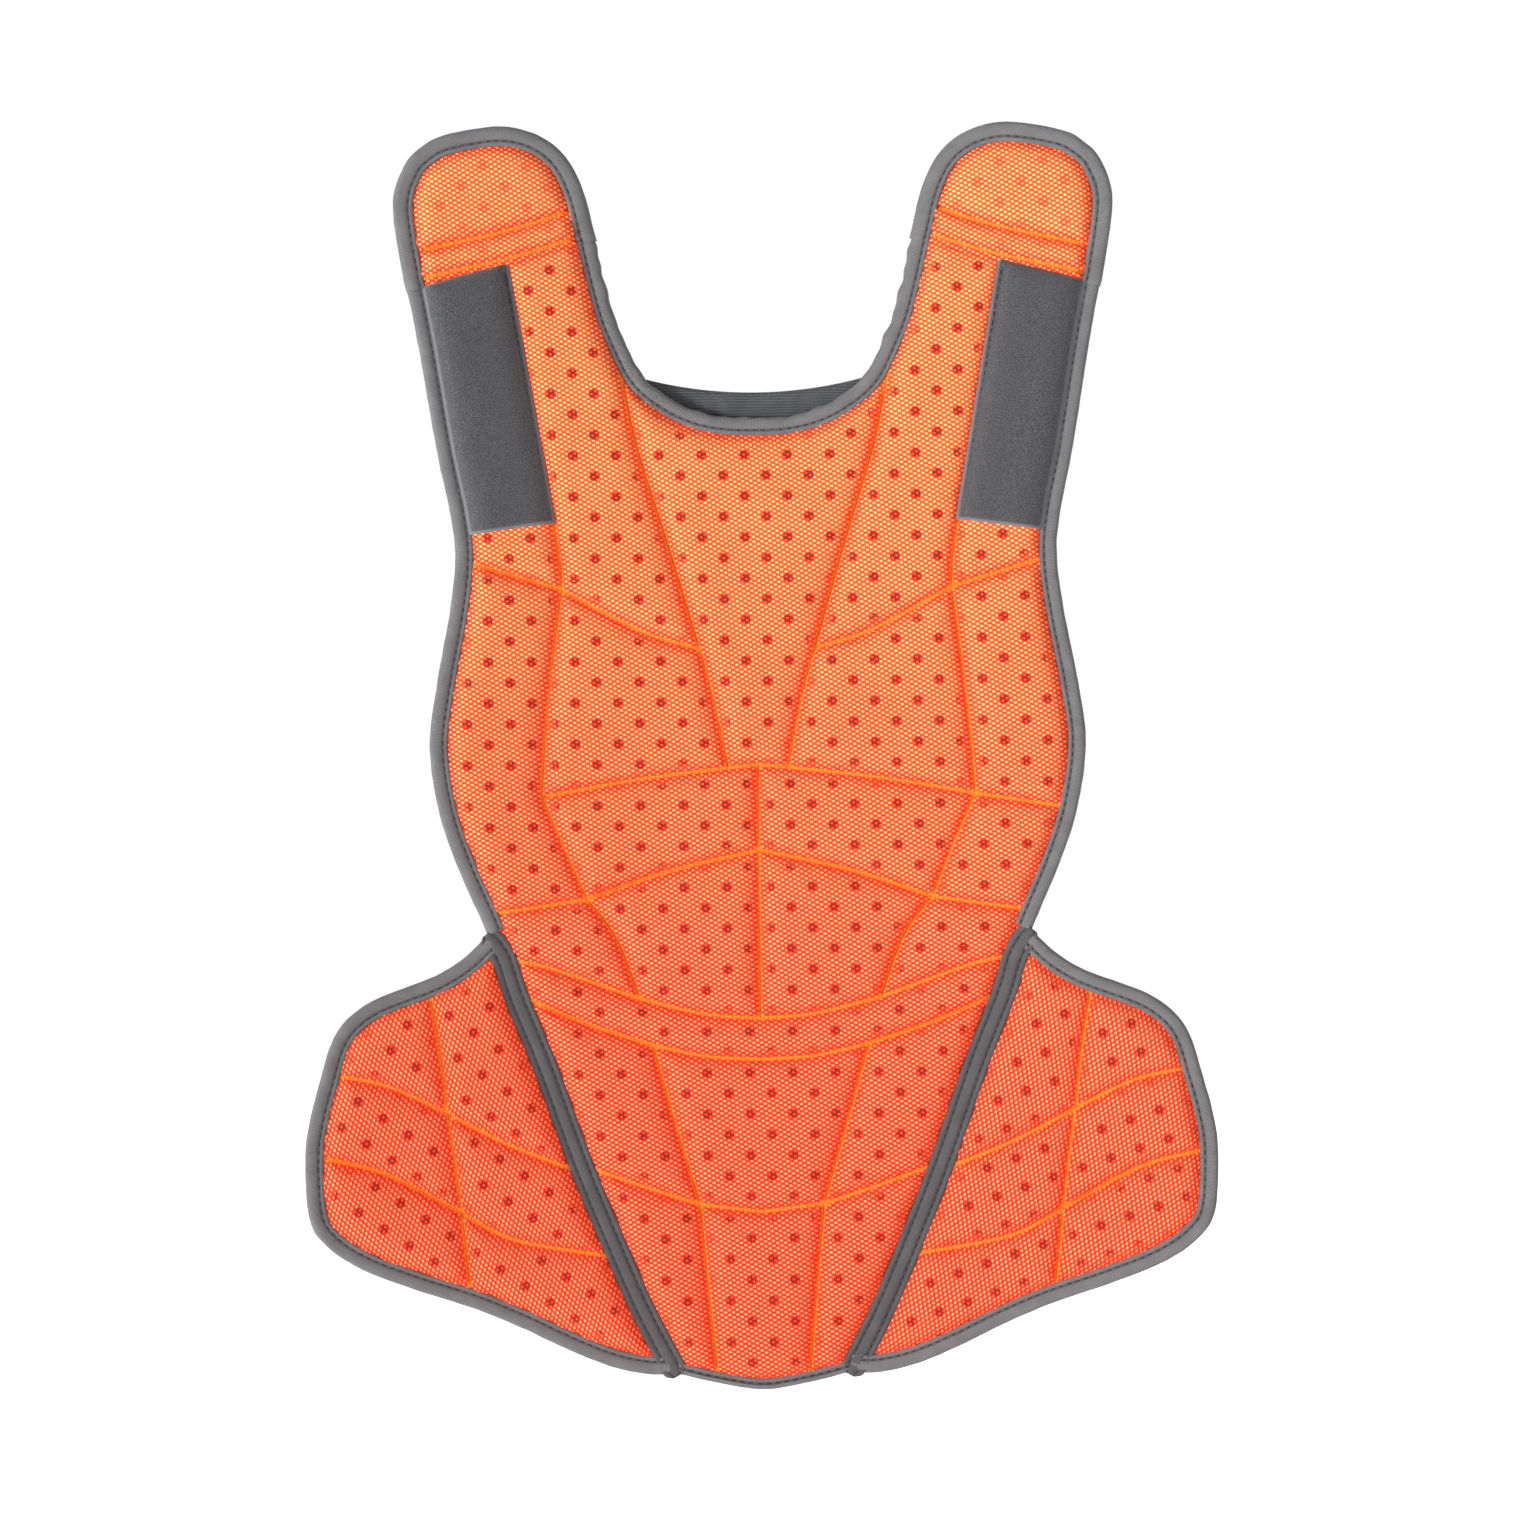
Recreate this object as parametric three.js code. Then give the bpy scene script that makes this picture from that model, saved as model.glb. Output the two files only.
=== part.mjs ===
// A padded chest protector: an orange mesh lining and a dark shell with foam pads quilted between them.
// Two wings fold on the belly's slanting edges, and two shoulder tips fold at the top of the straps.
// Millimetres. X runs across the body, Y from the wearer outwards, Z up.
// The origin is on the centre line, on the lining's inner face, at the middle of the chest.

import * as THREE from 'three';

// ---- Driving dimensions ----
const chestWidth = 289; // across the widest part of the chest
const frontLength = 430; // from the neckline's edge down to the hem
const bodyRadius = 500; // bow of the whole front about an upright axis, its sides towards the wearer
const bellyRadius = 3000; // slow curve of the belly towards the wearer
const tipRadius = 250; // curve of the shoulder tips towards the wearer
const bellyCurveStart = -60; // height where the belly starts to curve
const tipCurveStart = 145; // height where the shoulder tips start to curve

const liningThickness = 2;
const shellThickness = 1.5;
const layerGap = 0.5; // clearance between a pad and the cloth on each side of it
const quiltSink = 2; // how far the lining dips towards a sewn line
const chestPadThickness = 11.5; // foam and both gaps, at the middle of a pad
const bellyPadThickness = 10.5;
const wingPadThickness = 8;
const tipPadThickness = 7;
const padShoulder = 14; // distance from a sewn line over which a pad rises to its full thickness
const padInset = 3; // from a sewn line to the foam's own edge

const tapeThickness = 0.8; // binding tape
const tapeGap = 0.4; // clearance of the tape to the edge that it wraps
const tapeWidth = 8; // visible width of the binding on each side
const hemTapeWidth = 5; // the hem's binding is narrower
const hingeTapeWidth = 5.2; // each half of the double tape along a wing's hinge
const bellyTapeTrim = 4.5; // the belly's tape stops short of the waist seam
const foldTapeTrim = 0.8; // tapes that meet at a shoulder fold both stop short of it
const tapeMargin = 0.8; // flat cloth between the tape and the first pad
const hingeGap = 0.6; // between two panels that meet at a hinge
const seamAllowance = 2; // flat cloth along a hinge that has no tape
const tipFlapDepth = 13; // flat cloth of a shoulder tip above its fold

const patchWidth = 33; // loop patch on each strap
const patchLength = 112;
const patchThickness = 1.8;
const patchTilt = 10.4; // degrees, the lower end nearer to the centre line
const patchCentre = [117.2, 87.5];
const patchGap = 0.4;

const collarRise = 11.6; // how far the throat collar stands above the neckline, on the centre line
const collarFlare = 6.2; // how much higher its top edge is at the ends
const collarThickness = 6;
const collarGap = 0.4;

const curveStep = 24; // spacing of points along a curved edge
const longestEdge = 48; // longer triangle edges are split, so that the panels can bow

// ---- Outline points are drawn at these two sizes and stretched to the sizes above ----
const drawnWidth = 289;
const drawnLength = 430;

function at(x, z) {
  return new THREE.Vector2(x * chestWidth / drawnWidth, z * frontLength / drawnLength);
}

// A smooth curve through the corners. Two corners stay one straight line, without points between them.
function curve(...corners) {
  if (corners.length === 2) {
    return corners;
  }
  const spline = new THREE.SplineCurve(corners);
  const pieces = Math.max(1, Math.round(spline.getLength() / curveStep));
  return spline.getSpacedPoints(pieces);
}

const mirrorPoint = (p) => new THREE.Vector2(-p.x, p.y);
const mirrorPath = (path) => path.map(mirrorPoint).reverse();

// ---- The surface that everything lies on: t is the depth behind the lining's inner face ----
function place(p, t) {
  const bow = p.x ** 2 / (2 * bodyRadius);
  const belly = Math.max(0, bellyCurveStart - p.y) ** 2 / (2 * bellyRadius);
  const tip = Math.max(0, p.y - tipCurveStart) ** 2 / (2 * tipRadius);
  return new THREE.Vector3(p.x, t - bow - belly - tip, p.y);
}

// ---- Plane geometry ----
function lineMeeting(a, directionA, b, directionB) {
  const cross = directionA.cross(directionB);
  if (Math.abs(cross) < 0.05) {
    return a.clone().add(b).multiplyScalar(0.5);
  }
  const along = b.clone().sub(a).cross(directionB) / cross;
  return a.clone().addScaledVector(directionA, along);
}

// Moves each side of a clockwise loop inwards by its own distance.
function insetLoop(loop, distances) {
  return loop.map((point, i) => {
    const before = loop[(i + loop.length - 1) % loop.length];
    const after = loop[(i + 1) % loop.length];
    const directionIn = point.clone().sub(before).normalize();
    const directionOut = after.clone().sub(point).normalize();
    const distanceIn = distances[(i + loop.length - 1) % loop.length];
    const inwardIn = new THREE.Vector2(directionIn.y, -directionIn.x);
    const inwardOut = new THREE.Vector2(directionOut.y, -directionOut.x);
    const a = point.clone().addScaledVector(inwardIn, distanceIn);
    const b = point.clone().addScaledVector(inwardOut, distances[i]);
    return lineMeeting(a, directionIn, b, directionOut);
  });
}

function signedArea(loop) {
  return THREE.ShapeUtils.area(loop);
}

// In a tight corner, inset points cross over or crowd together: such a point joins the next one.
function settledInset(loop, distances) {
  const inset = insetLoop(loop, distances);
  const joinsNext = inset.map((p, i) => {
    const distance = Math.min(distances[(i + loop.length - 1) % loop.length], distances[i]);
    const isCrowded = p.distanceTo(inset[(i + 1) % inset.length]) < 0.3 * distance;
    return isCrowded || distanceToLoop(p, loop) < 0.95 * distance;
  });
  return inset.map((p, i) => {
    let k = i;
    while (joinsNext[k]) {
      k = (k + 1) % inset.length;
    }
    return inset[k];
  });
}

function withoutRepeats(loop) {
  return loop.filter((p, i) => p.distanceTo(loop[(i + 1) % loop.length]) > 0.01);
}

function distanceToLoop(p, loop) {
  let nearest = Infinity;
  loop.forEach((a, i) => {
    const side = loop[(i + 1) % loop.length].clone().sub(a);
    const along = THREE.MathUtils.clamp(p.clone().sub(a).dot(side) / side.lengthSq(), 0, 1);
    nearest = Math.min(nearest, p.distanceTo(a.clone().addScaledVector(side, along)));
  });
  return nearest;
}

// ---- A flat mesh of triangles that all the layers of one panel share, so that they nest ----
class Sheet {
  constructor() {
    this.points = [];
    this.index = new Map();
    this.triangles = [];
  }

  vertex(p) {
    const key = `${Math.round(p.x * 1000)},${Math.round(p.y * 1000)}`;
    if (!this.index.has(key)) {
      this.index.set(key, this.points.length);
      this.points.push(p.clone());
    }
    return this.index.get(key);
  }

  addTriangle(corners, cell, isPad) {
    const [a, b, c] = corners;
    const turned = signedArea([this.points[a], this.points[b], this.points[c]]) < 0;
    this.triangles.push({ corners: turned ? [a, c, b] : [a, b, c], cell, isPad });
  }

  fill(loop, cell, isPad) {
    const vertices = loop.map((p) => this.vertex(p));
    for (const face of THREE.ShapeUtils.triangulateShape(loop, [])) {
      this.addTriangle(face.map((i) => vertices[i]), cell, isPad);
    }
  }

  // Fills the band between a loop and its own inset, point by point.
  fillBand(loop, inset, cell) {
    loop.forEach((point, i) => {
      const next = (i + 1) % loop.length;
      const [a, b, c, d] = [point, loop[next], inset[next], inset[i]].map((p) => this.vertex(p));
      this.addTriangle([a, b, c], cell, false);
      if (c !== d) {
        this.addTriangle([a, c, d], cell, false);
      }
    });
  }

  splitLongEdges(longest) {
    const tooLong = (a, b) => this.points[a].distanceTo(this.points[b]) > longest;
    const middle = (a, b) => this.vertex(this.points[a].clone().add(this.points[b]).multiplyScalar(0.5));
    let split = true;
    while (split) {
      split = false;
      const old = this.triangles;
      this.triangles = [];
      for (const { corners: [a, b, c], cell, isPad } of old) {
        const outline = [];
        const isMiddle = [];
        for (const [from, to] of [[a, b], [b, c], [c, a]]) {
          outline.push(from);
          isMiddle.push(false);
          if (tooLong(from, to)) {
            outline.push(middle(from, to));
            isMiddle.push(true);
          }
        }
        split = split || outline.length > 3;
        this.fillOutline(outline, isMiddle, cell, isPad);
      }
    }
  }

  // Cuts a triangle that has gained up to three middle points into smaller triangles.
  fillOutline(outline, isMiddle, cell, isPad) {
    if (outline.length === 3) {
      this.addTriangle(outline, cell, isPad);
      return;
    }
    if (outline.length === 6) {
      this.addTriangle(outline.filter((v, i) => isMiddle[i]), cell, isPad);
      this.addTriangle([outline[5], outline[0], outline[1]], cell, isPad);
      this.addTriangle([outline[1], outline[2], outline[3]], cell, isPad);
      this.addTriangle([outline[3], outline[4], outline[5]], cell, isPad);
      return;
    }
    const start = isMiddle.indexOf(true);
    const turned = outline.map((v, i) => outline[(start + i) % outline.length]);
    for (let i = 1; i < turned.length - 1; i++) {
      this.addTriangle([turned[0], turned[i], turned[i + 1]], cell, isPad);
    }
  }

  // How full the padding is at each point: 0 on a sewn line, 1 at the middle of a pad.
  fullness(cells) {
    const full = this.points.map(() => 0);
    for (const { corners, cell } of this.triangles) {
      if (cell === null) {
        continue;
      }
      for (const v of corners) {
        const distance = distanceToLoop(this.points[v], cells[cell]);
        full[v] = Math.sqrt(1 - (1 - Math.min(distance / padShoulder, 1)) ** 2);
      }
    }
    return full;
  }
}

// A closed solid between two depths, over the chosen triangles of a sheet.
function layerGeometry(sheet, chosen, frontDepth, backDepth) {
  const triangles = sheet.triangles.filter(chosen).map((t) => t.corners);
  const edges = new Map();
  for (const corners of triangles) {
    corners.forEach((from, i) => edges.set(`${from},${corners[(i + 1) % 3]}`, true));
  }
  const positions = [];
  const front = (v) => place(sheet.points[v], frontDepth(v));
  const back = (v) => place(sheet.points[v], backDepth(v));
  const addFace = (...points) => points.forEach((p) => positions.push(p.x, p.y, p.z));
  for (const [a, b, c] of triangles) {
    addFace(front(a), front(b), front(c));
    addFace(back(a), back(c), back(b));
    for (const [from, to] of [[a, b], [b, c], [c, a]]) {
      if (!edges.has(`${to},${from}`)) {
        addFace(front(from), back(from), back(to));
        addFace(front(from), back(to), front(to));
      }
    }
  }
  const geometry = new THREE.BufferGeometry();
  geometry.setAttribute('position', new THREE.Float32BufferAttribute(positions, 3));
  geometry.computeVertexNormals();
  return geometry;
}

// ---- Materials ----
const orangeMesh = { color: 0xec6a3c, roughness: 0.85, metalness: 0 };
const darkCloth = { color: 0x3a3b3d, roughness: 0.9, metalness: 0 };
const foam = { color: 0xd8d4c8, roughness: 0.95, metalness: 0 };
const greyTape = { color: 0x6e6e70, roughness: 0.8, metalness: 0 };
const loopPile = { color: 0x4c4c4e, roughness: 1, metalness: 0 };

const protector = new THREE.Group();

function add(name, geometry, look) {
  const mesh = new THREE.Mesh(geometry, new THREE.MeshStandardMaterial(look));
  mesh.name = name;
  protector.add(mesh);
  return mesh;
}

// ---- One panel: lining, shell and pads over a shared sheet, from its edges and quilted cells ----
// Each edge is { name, path, tape, setBack, band }. Edges run clockwise, seen from the wearer with Z up.
// tape is the binding's width, or 0 where the panel meets a hinge with bare cloth. setBack is from the
// drawn path in to the cloth's edge, and band is the flat cloth from there in to the first pad.
class Panel {
  constructor(name, edges) {
    this.name = name;
    this.edges = edges;
    this.outline = [];
    this.starts = {};
    const setBacks = [];
    const bands = [];
    for (const edge of edges) {
      this.starts[edge.name] = this.outline.length;
      for (const point of edge.path.slice(0, -1)) {
        this.outline.push(point);
        setBacks.push(edge.setBack);
        bands.push(edge.band);
      }
    }
    this.clothLoop = insetLoop(this.outline, setBacks);
    this.padLoop = settledInset(this.clothLoop, bands);
  }

  // The stretch of the loop round the padded area that runs along one edge.
  inner(name) {
    const edge = this.edges.find((e) => e.name === name);
    const start = this.starts[name];
    return edge.path.map((point, i) => this.padLoop[(start + i) % this.padLoop.length]);
  }

  innerEnd(name) {
    return this.inner(name).at(-1);
  }

  build(cells, padThickness) {
    const sheet = new Sheet();
    sheet.fillBand(this.clothLoop, this.padLoop, null);
    const loops = {};
    for (const [cell, drawn] of Object.entries(cells)) {
      const loop = withoutRepeats(drawn);
      const clockwise = signedArea(loop) < 0 ? loop : [...loop].reverse();
      loops[cell] = clockwise;
      const rim = settledInset(clockwise, clockwise.map(() => padInset));
      sheet.fillBand(clockwise, rim, cell);
      sheet.fill(withoutRepeats(rim), cell, true);
    }
    sheet.splitLongEdges(longestEdge);
    const full = sheet.fullness(loops);
    const liningFront = (v) => quiltSink * (1 - full[v]);
    const liningBack = (v) => liningFront(v) + liningThickness;
    const shellFront = (v) => liningBack(v) + layerGap + padThickness * full[v];
    const shellBack = (v) => shellFront(v) + shellThickness;
    add(`${this.name}_lining`, layerGeometry(sheet, () => true, liningFront, liningBack), orangeMesh);
    add(`${this.name}_shell`, layerGeometry(sheet, () => true, shellFront, shellBack), darkCloth);
    for (const cell of Object.keys(cells)) {
      const chosen = (t) => t.cell === cell && t.isPad;
      const padFront = (v) => liningBack(v) + layerGap;
      const padBack = (v) => shellFront(v) - layerGap;
      add(`${cell}_pad`, layerGeometry(sheet, chosen, padFront, padBack), foam);
    }
  }

  // The tape's stations along some edges. Where two widths meet, the narrower one is kept.
  tapeStations(names) {
    const stations = [];
    for (const name of names) {
      const edge = this.edges.find((e) => e.name === name);
      edge.path.forEach((p, k) => {
        const point = this.clothLoop[(this.starts[name] + k) % this.clothLoop.length];
        const last = stations.at(-1);
        if (last?.point === point) {
          last.width = Math.min(last.width, edge.tape);
        } else {
          stations.push({ point, width: edge.tape });
        }
      });
    }
    return stations;
  }
}

// ---- Binding tape: a U section carried round an edge ----
const tapeFront = quiltSink - tapeGap - tapeThickness;
const tapeBack = quiltSink + liningThickness + layerGap + shellThickness + tapeGap + tapeThickness;

function tapeSection(width) {
  const outside = -tapeGap - tapeThickness;
  return [
    [width, tapeFront],
    [outside, tapeFront],
    [outside, tapeBack],
    [width, tapeBack],
    [width, tapeBack - tapeThickness],
    [-tapeGap, tapeBack - tapeThickness],
    [-tapeGap, tapeFront + tapeThickness],
    [width, tapeFront + tapeThickness],
  ];
}

function tapeGeometry(stations, closed) {
  const count = stations.length;
  const rings = stations.map(({ point, width }, i) => {
    const before = closed || i > 0 ? stations[(i + count - 1) % count].point : null;
    const after = closed || i < count - 1 ? stations[(i + 1) % count].point : null;
    const directionIn = point.clone().sub(before ?? point).normalize();
    const directionOut = (after ?? point).clone().sub(point).normalize();
    const along = directionIn.clone().add(directionOut).normalize();
    const inward = new THREE.Vector2(along.y, -along.x);
    const shorter = Math.max(0.6, before && after ? along.dot(directionOut) : 1);
    const section = tapeSection(width);
    return section.map(([d, t]) => place(point.clone().addScaledVector(inward, d / shorter), t));
  });
  const positions = [];
  const addFace = (...points) => points.forEach((p) => positions.push(p.x, p.y, p.z));
  const sides = rings[0].length;
  const spans = closed ? count : count - 1;
  for (let i = 0; i < spans; i++) {
    const here = rings[i];
    const next = rings[(i + 1) % count];
    for (let k = 0; k < sides; k++) {
      const m = (k + 1) % sides;
      addFace(here[k], next[m], here[m]);
      addFace(here[k], next[k], next[m]);
    }
  }
  if (!closed) {
    for (const [ring, flip] of [[rings[0], true], [rings.at(-1), false]]) {
      for (const [a, b, c] of [[0, 1, 6], [0, 6, 7], [1, 2, 5], [1, 5, 6], [2, 3, 4], [2, 4, 5]]) {
        addFace(ring[a], ring[flip ? b : c], ring[flip ? c : b]);
      }
    }
  }
  const geometry = new THREE.BufferGeometry();
  geometry.setAttribute('position', new THREE.Float32BufferAttribute(positions, 3));
  geometry.computeVertexNormals();
  return geometry;
}

// trim shortens both ends, where a whole end would reach across the seam that it meets.
function addTape(name, panel, edgeNames, trim = 0) {
  const stations = panel.tapeStations(edgeNames);
  const closed = stations[0].point === stations.at(-1).point;
  if (closed) {
    stations[0].width = Math.min(stations[0].width, stations.pop().width);
    add(name, tapeGeometry(stations, closed), greyTape);
    return;
  }
  for (const [end, next] of [[0, 1], [stations.length - 1, stations.length - 2]]) {
    const inwards = stations[next].point.clone().sub(stations[end].point).setLength(trim);
    stations[end].point = stations[end].point.clone().add(inwards);
  }
  add(name, tapeGeometry(stations, closed), greyTape);
}

// ---- Edge kinds ----
const tapeRoom = tapeThickness + tapeGap;

function boundEdge(name, path, tape = tapeWidth) {
  return { name, path, tape, setBack: tapeRoom, band: tape + tapeMargin };
}

function hingeTapeEdge(name, path) {
  const setBack = tapeRoom + hingeGap / 2;
  return { name, path, tape: hingeTapeWidth, setBack, band: hingeTapeWidth + tapeMargin };
}

function bareEdge(name, path, band = seamAllowance) {
  return { name, path, tape: 0, setBack: hingeGap / 2, band };
}

// The same edges on the left side, in the order that keeps the loop clockwise.
function mirrorEdges(edges) {
  return [...edges].reverse().map((edge) => {
    return { ...edge, name: `left:${edge.name}`, path: mirrorPath(edge.path) };
  });
}

// ---- Right half of the outline ----
const neckCentre = at(0, 81);
const neckCorner = at(49.2, 99.7);
const foldInner = at(71, 163.5);
const foldMiddle = at(110.8, 150.4);
const foldOuter = at(152.8, 140);
const armholeEnd = at(132.6, 18);
const sideEnd = at(140.5, -93);
const loin = at(123, -139.5);
const notch = at(120, -147);
const chestCorner = at(113.2, -156.6);
const ribSeam = at(53.4, -176);
const chestBottom = at(0, -185.2);

const neckEdge = curve(neckCentre, at(12, 81.4), at(24.8, 83.9), at(37.2, 89.7), neckCorner);
const strapInnerEdge = curve(neckCorner, at(57.2, 115.2), at(63, 130.7), foldInner);
const foldInnerEdge = curve(foldInner, at(90, 156.5), foldMiddle);
const foldOuterEdge = curve(foldMiddle, at(132, 145.3), foldOuter);
const armholeEdge = curve(foldOuter, at(147.5, 111.6), at(140, 66), at(134.2, 37), armholeEnd);
const sideEdge = curve(armholeEnd, at(135.4, -6), at(141, -36), at(144.4, -64), sideEnd);
const flankEdge = curve(sideEnd, at(132.5, -117.4), loin);
const loinEdge = curve(loin, notch);
const waistEdge = curve(notch, chestCorner);
const waistSeamOuter = curve(chestCorner, at(92.6, -162), ribSeam);
const waistSeamInner = curve(ribSeam, at(24, -183.2), chestBottom);

const hingeBand = at(107.4, -174.6);
const hingeMiddle = at(79.2, -250);
const hingeLow = at(63.8, -288);
const hemCorner = at(38.4, -341);
const hemRib = at(21, -345.4);
const hemCentre = at(0, -348.6);

// The belly and the wing share these stretches of the hinge line, from the waist seam down.
const hingeUpperPath = curve(chestCorner, hingeBand);
const hingeMiddlePath = curve(hingeBand, at(94.9, -206), hingeMiddle);
const hingeLowerPath = curve(hingeMiddle, hingeLow);
const hingeTailPath = curve(hingeLow, at(51.8, -315.4), hemCorner);
const hemOuterEdge = curve(hemCorner, hemRib);
const hemInnerEdge = curve(hemRib, hemCentre);

// ---- Chest: strap to waist, both sides ----
const rightChestEdges = [
  boundEdge('neck', neckEdge),
  boundEdge('strapInner', strapInnerEdge),
  bareEdge('foldInner', foldInnerEdge),
  bareEdge('foldOuter', foldOuterEdge),
  boundEdge('armhole', armholeEdge),
  boundEdge('side', sideEdge),
  boundEdge('flank', flankEdge),
  boundEdge('loin', loinEdge),
  hingeTapeEdge('waist', waistEdge),
  bareEdge('waistSeamOuter', waistSeamOuter),
  bareEdge('waistSeamInner', waistSeamInner),
];
const chest = new Panel('chest', [...rightChestEdges, ...mirrorEdges(rightChestEdges)]);

// Sewn lines of the right half. The corner points are where the lines cross.
const collarbone = at(25.5, -21.5);
const breast = at(13.3, -74.2);
const breastCentre = at(0, -73);
const shoulder = at(86.2, 5);
const patchCorner = at(89, 33);
const ribTop = at(95.7, -86.4);
const ribMiddle = at(76.2, -131.8);
const ribCentre = at(0, -110.8);

const chestLines = {
  breastbone: curve(chest.innerEnd('neck'), at(51.8, 64.2), at(39, 24.4), collarbone),
  sternum: curve(collarbone, at(19.9, -42), breast),
  collarboneLine: curve(collarbone, at(51, -13.5), shoulder),
  armholeLine: curve(shoulder, chest.innerEnd('armhole')),
  patchLine: [chest.innerEnd('foldInner'), patchCorner],
  shoulderLine: [patchCorner, shoulder],
  breastLine: curve(shoulder, at(92.6, -46), ribTop),
  breastCentreLine: [breastCentre, breast],
  breastMiddleLine: curve(breast, at(54.9, -79.3), ribTop),
  sideLine: curve(ribTop, chest.innerEnd('side')),
  ribLine: curve(ribTop, at(88.6, -102.8), ribMiddle),
  midriffLine: curve(ribCentre, at(40, -119.8), ribMiddle),
  flankLine: curve(ribMiddle, chest.innerEnd('flank')),
  lowRibLine: curve(ribMiddle, at(63.3, -149.5), chest.innerEnd('waistSeamOuter')),
  centreUpper: [breastCentre, ribCentre],
  centreLower: [ribCentre, chest.innerEnd('waistSeamInner')],
};

// A cell's loop is a list of line or edge names. A minus sign runs that line backwards.
function loopOf(panel, lines, names) {
  return names.flatMap((word) => {
    const backwards = word.startsWith('-');
    const name = backwards ? word.slice(1) : word;
    const path = lines[name] ?? panel.inner(name);
    return (backwards ? [...path].reverse() : path).slice(0, -1);
  });
}

// A cell on the centre line: its right half's lines, then the same lines mirrored.
function centreLoopOf(panel, lines, names) {
  const half = loopOf(panel, lines, names);
  const lastName = names.at(-1).replace('-', '');
  const lastPath = lines[lastName] ?? panel.inner(lastName);
  const end = names.at(-1).startsWith('-') ? lastPath[0] : lastPath.at(-1);
  const left = half.slice(1).map(mirrorPoint).reverse();
  return [...half, end, ...left];
}

const chestCellNames = {
  collarbone: ['strapInner', 'foldInner', 'patchLine', 'shoulderLine', '-collarboneLine', '-breastbone'],
  strap: ['foldOuter', 'armhole', '-armholeLine', '-shoulderLine', '-patchLine'],
  breast: ['collarboneLine', 'breastLine', '-breastMiddleLine', '-sternum'],
  upper_rib: ['breastCentreLine', 'breastMiddleLine', 'ribLine', '-midriffLine', '-centreUpper'],
  lower_rib: ['midriffLine', 'lowRibLine', 'waistSeamInner', '-centreLower'],
  waist: ['flankLine', 'loin', 'waist', 'waistSeamOuter', '-lowRibLine'],
};
const chestCells = {
  sternum: centreLoopOf(chest, chestLines, ['neck', 'breastbone', 'sternum', '-breastCentreLine']),
};
for (const [cell, names] of Object.entries(chestCellNames)) {
  const loop = loopOf(chest, chestLines, names);
  chestCells[`right_${cell}`] = loop;
  chestCells[`left_${cell}`] = mirrorPath(loop);
}
// The right side is sewn across into a side pad and a flank pad; the left side is one long pad.
chestCells.right_side = loopOf(chest, chestLines, ['armholeLine', 'side', '-sideLine', '-breastLine']);
chestCells.right_flank = loopOf(chest, chestLines, ['sideLine', 'flank', '-flankLine', '-ribLine']);
const leftSideNames = ['armholeLine', 'side', 'flank', '-flankLine', '-ribLine', '-breastLine'];
chestCells.left_side = mirrorPath(loopOf(chest, chestLines, leftSideNames));

chest.build(chestCells, chestPadThickness);
const leftOf = (names) => names.map((name) => `left:${name}`).reverse();
const neckNames = ['neck', 'strapInner'];
const sideNames = ['armhole', 'side', 'flank', 'loin', 'waist'];
addTape('neckline_binding', chest, [...leftOf(neckNames), ...neckNames], foldTapeTrim);
addTape('right_side_binding', chest, sideNames);
addTape('left_side_binding', chest, leftOf(sideNames));

// ---- Belly: from the waist seam to the hem ----
const rightBellyEdges = [
  bareEdge('waistSeamInner', [...waistSeamInner].reverse()),
  bareEdge('waistSeamOuter', [...waistSeamOuter].reverse()),
  hingeTapeEdge('hingeUpper', hingeUpperPath),
  hingeTapeEdge('hingeMiddle', hingeMiddlePath),
  hingeTapeEdge('hingeLower', hingeLowerPath),
  hingeTapeEdge('hingeTail', hingeTailPath),
  boundEdge('hemOuter', hemOuterEdge, hemTapeWidth),
  boundEdge('hemInner', hemInnerEdge, hemTapeWidth),
];
const belly = new Panel('belly', [...rightBellyEdges, ...mirrorEdges(rightBellyEdges)]);

const bandRib = at(47.8, -196.5);
const bandCentre = at(0, -203.3);
const tailRib = at(27.4, -267);
const tailCentre = at(0, -270.4);
const bellyLines = {
  bandInner: curve(bandCentre, at(24, -201.8), bandRib),
  bandOuter: curve(bandRib, at(76.3, -186.9), belly.innerEnd('hingeUpper')),
  bellyRib: curve(bandRib, at(38, -231), tailRib),
  tailInner: curve(tailCentre, tailRib),
  tailOuter: curve(tailRib, at(50, -259.5), belly.innerEnd('hingeMiddle')),
  tailRibLine: curve(tailRib, belly.innerEnd('hemOuter')),
};
const bandNames = ['waistSeamInner', 'waistSeamOuter', 'hingeUpper', '-bandOuter', '-bandInner'];
const rightBelly = loopOf(belly, bellyLines, ['bandOuter', 'hingeMiddle', '-tailOuter', '-bellyRib']);
const tailNames = ['tailOuter', 'hingeLower', 'hingeTail', 'hemOuter', '-tailRibLine'];
const rightTail = loopOf(belly, bellyLines, tailNames);
const bellyCells = {
  waistband: centreLoopOf(belly, bellyLines, bandNames),
  belly: centreLoopOf(belly, bellyLines, ['bandInner', 'bellyRib', '-tailInner']),
  tail: centreLoopOf(belly, bellyLines, ['tailInner', 'tailRibLine', 'hemInner']),
  right_belly: rightBelly,
  left_belly: mirrorPath(rightBelly),
  right_tail: rightTail,
  left_tail: mirrorPath(rightTail),
};
belly.build(bellyCells, bellyPadThickness);
const bellyTapeNames = ['hingeUpper', 'hingeMiddle', 'hingeLower', 'hingeTail', 'hemOuter', 'hemInner'];
addTape('belly_binding', belly, [...bellyTapeNames, ...leftOf(bellyTapeNames)], bellyTapeTrim);

// ---- Wings ----
const wingSplit = at(147.5, -166.4);
const wingUpperEnd = at(192.3, -208.2);
const wingMiddleEnd = at(199, -241.5);
const wingBottomSplit = at(127.5, -310.4);

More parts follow.
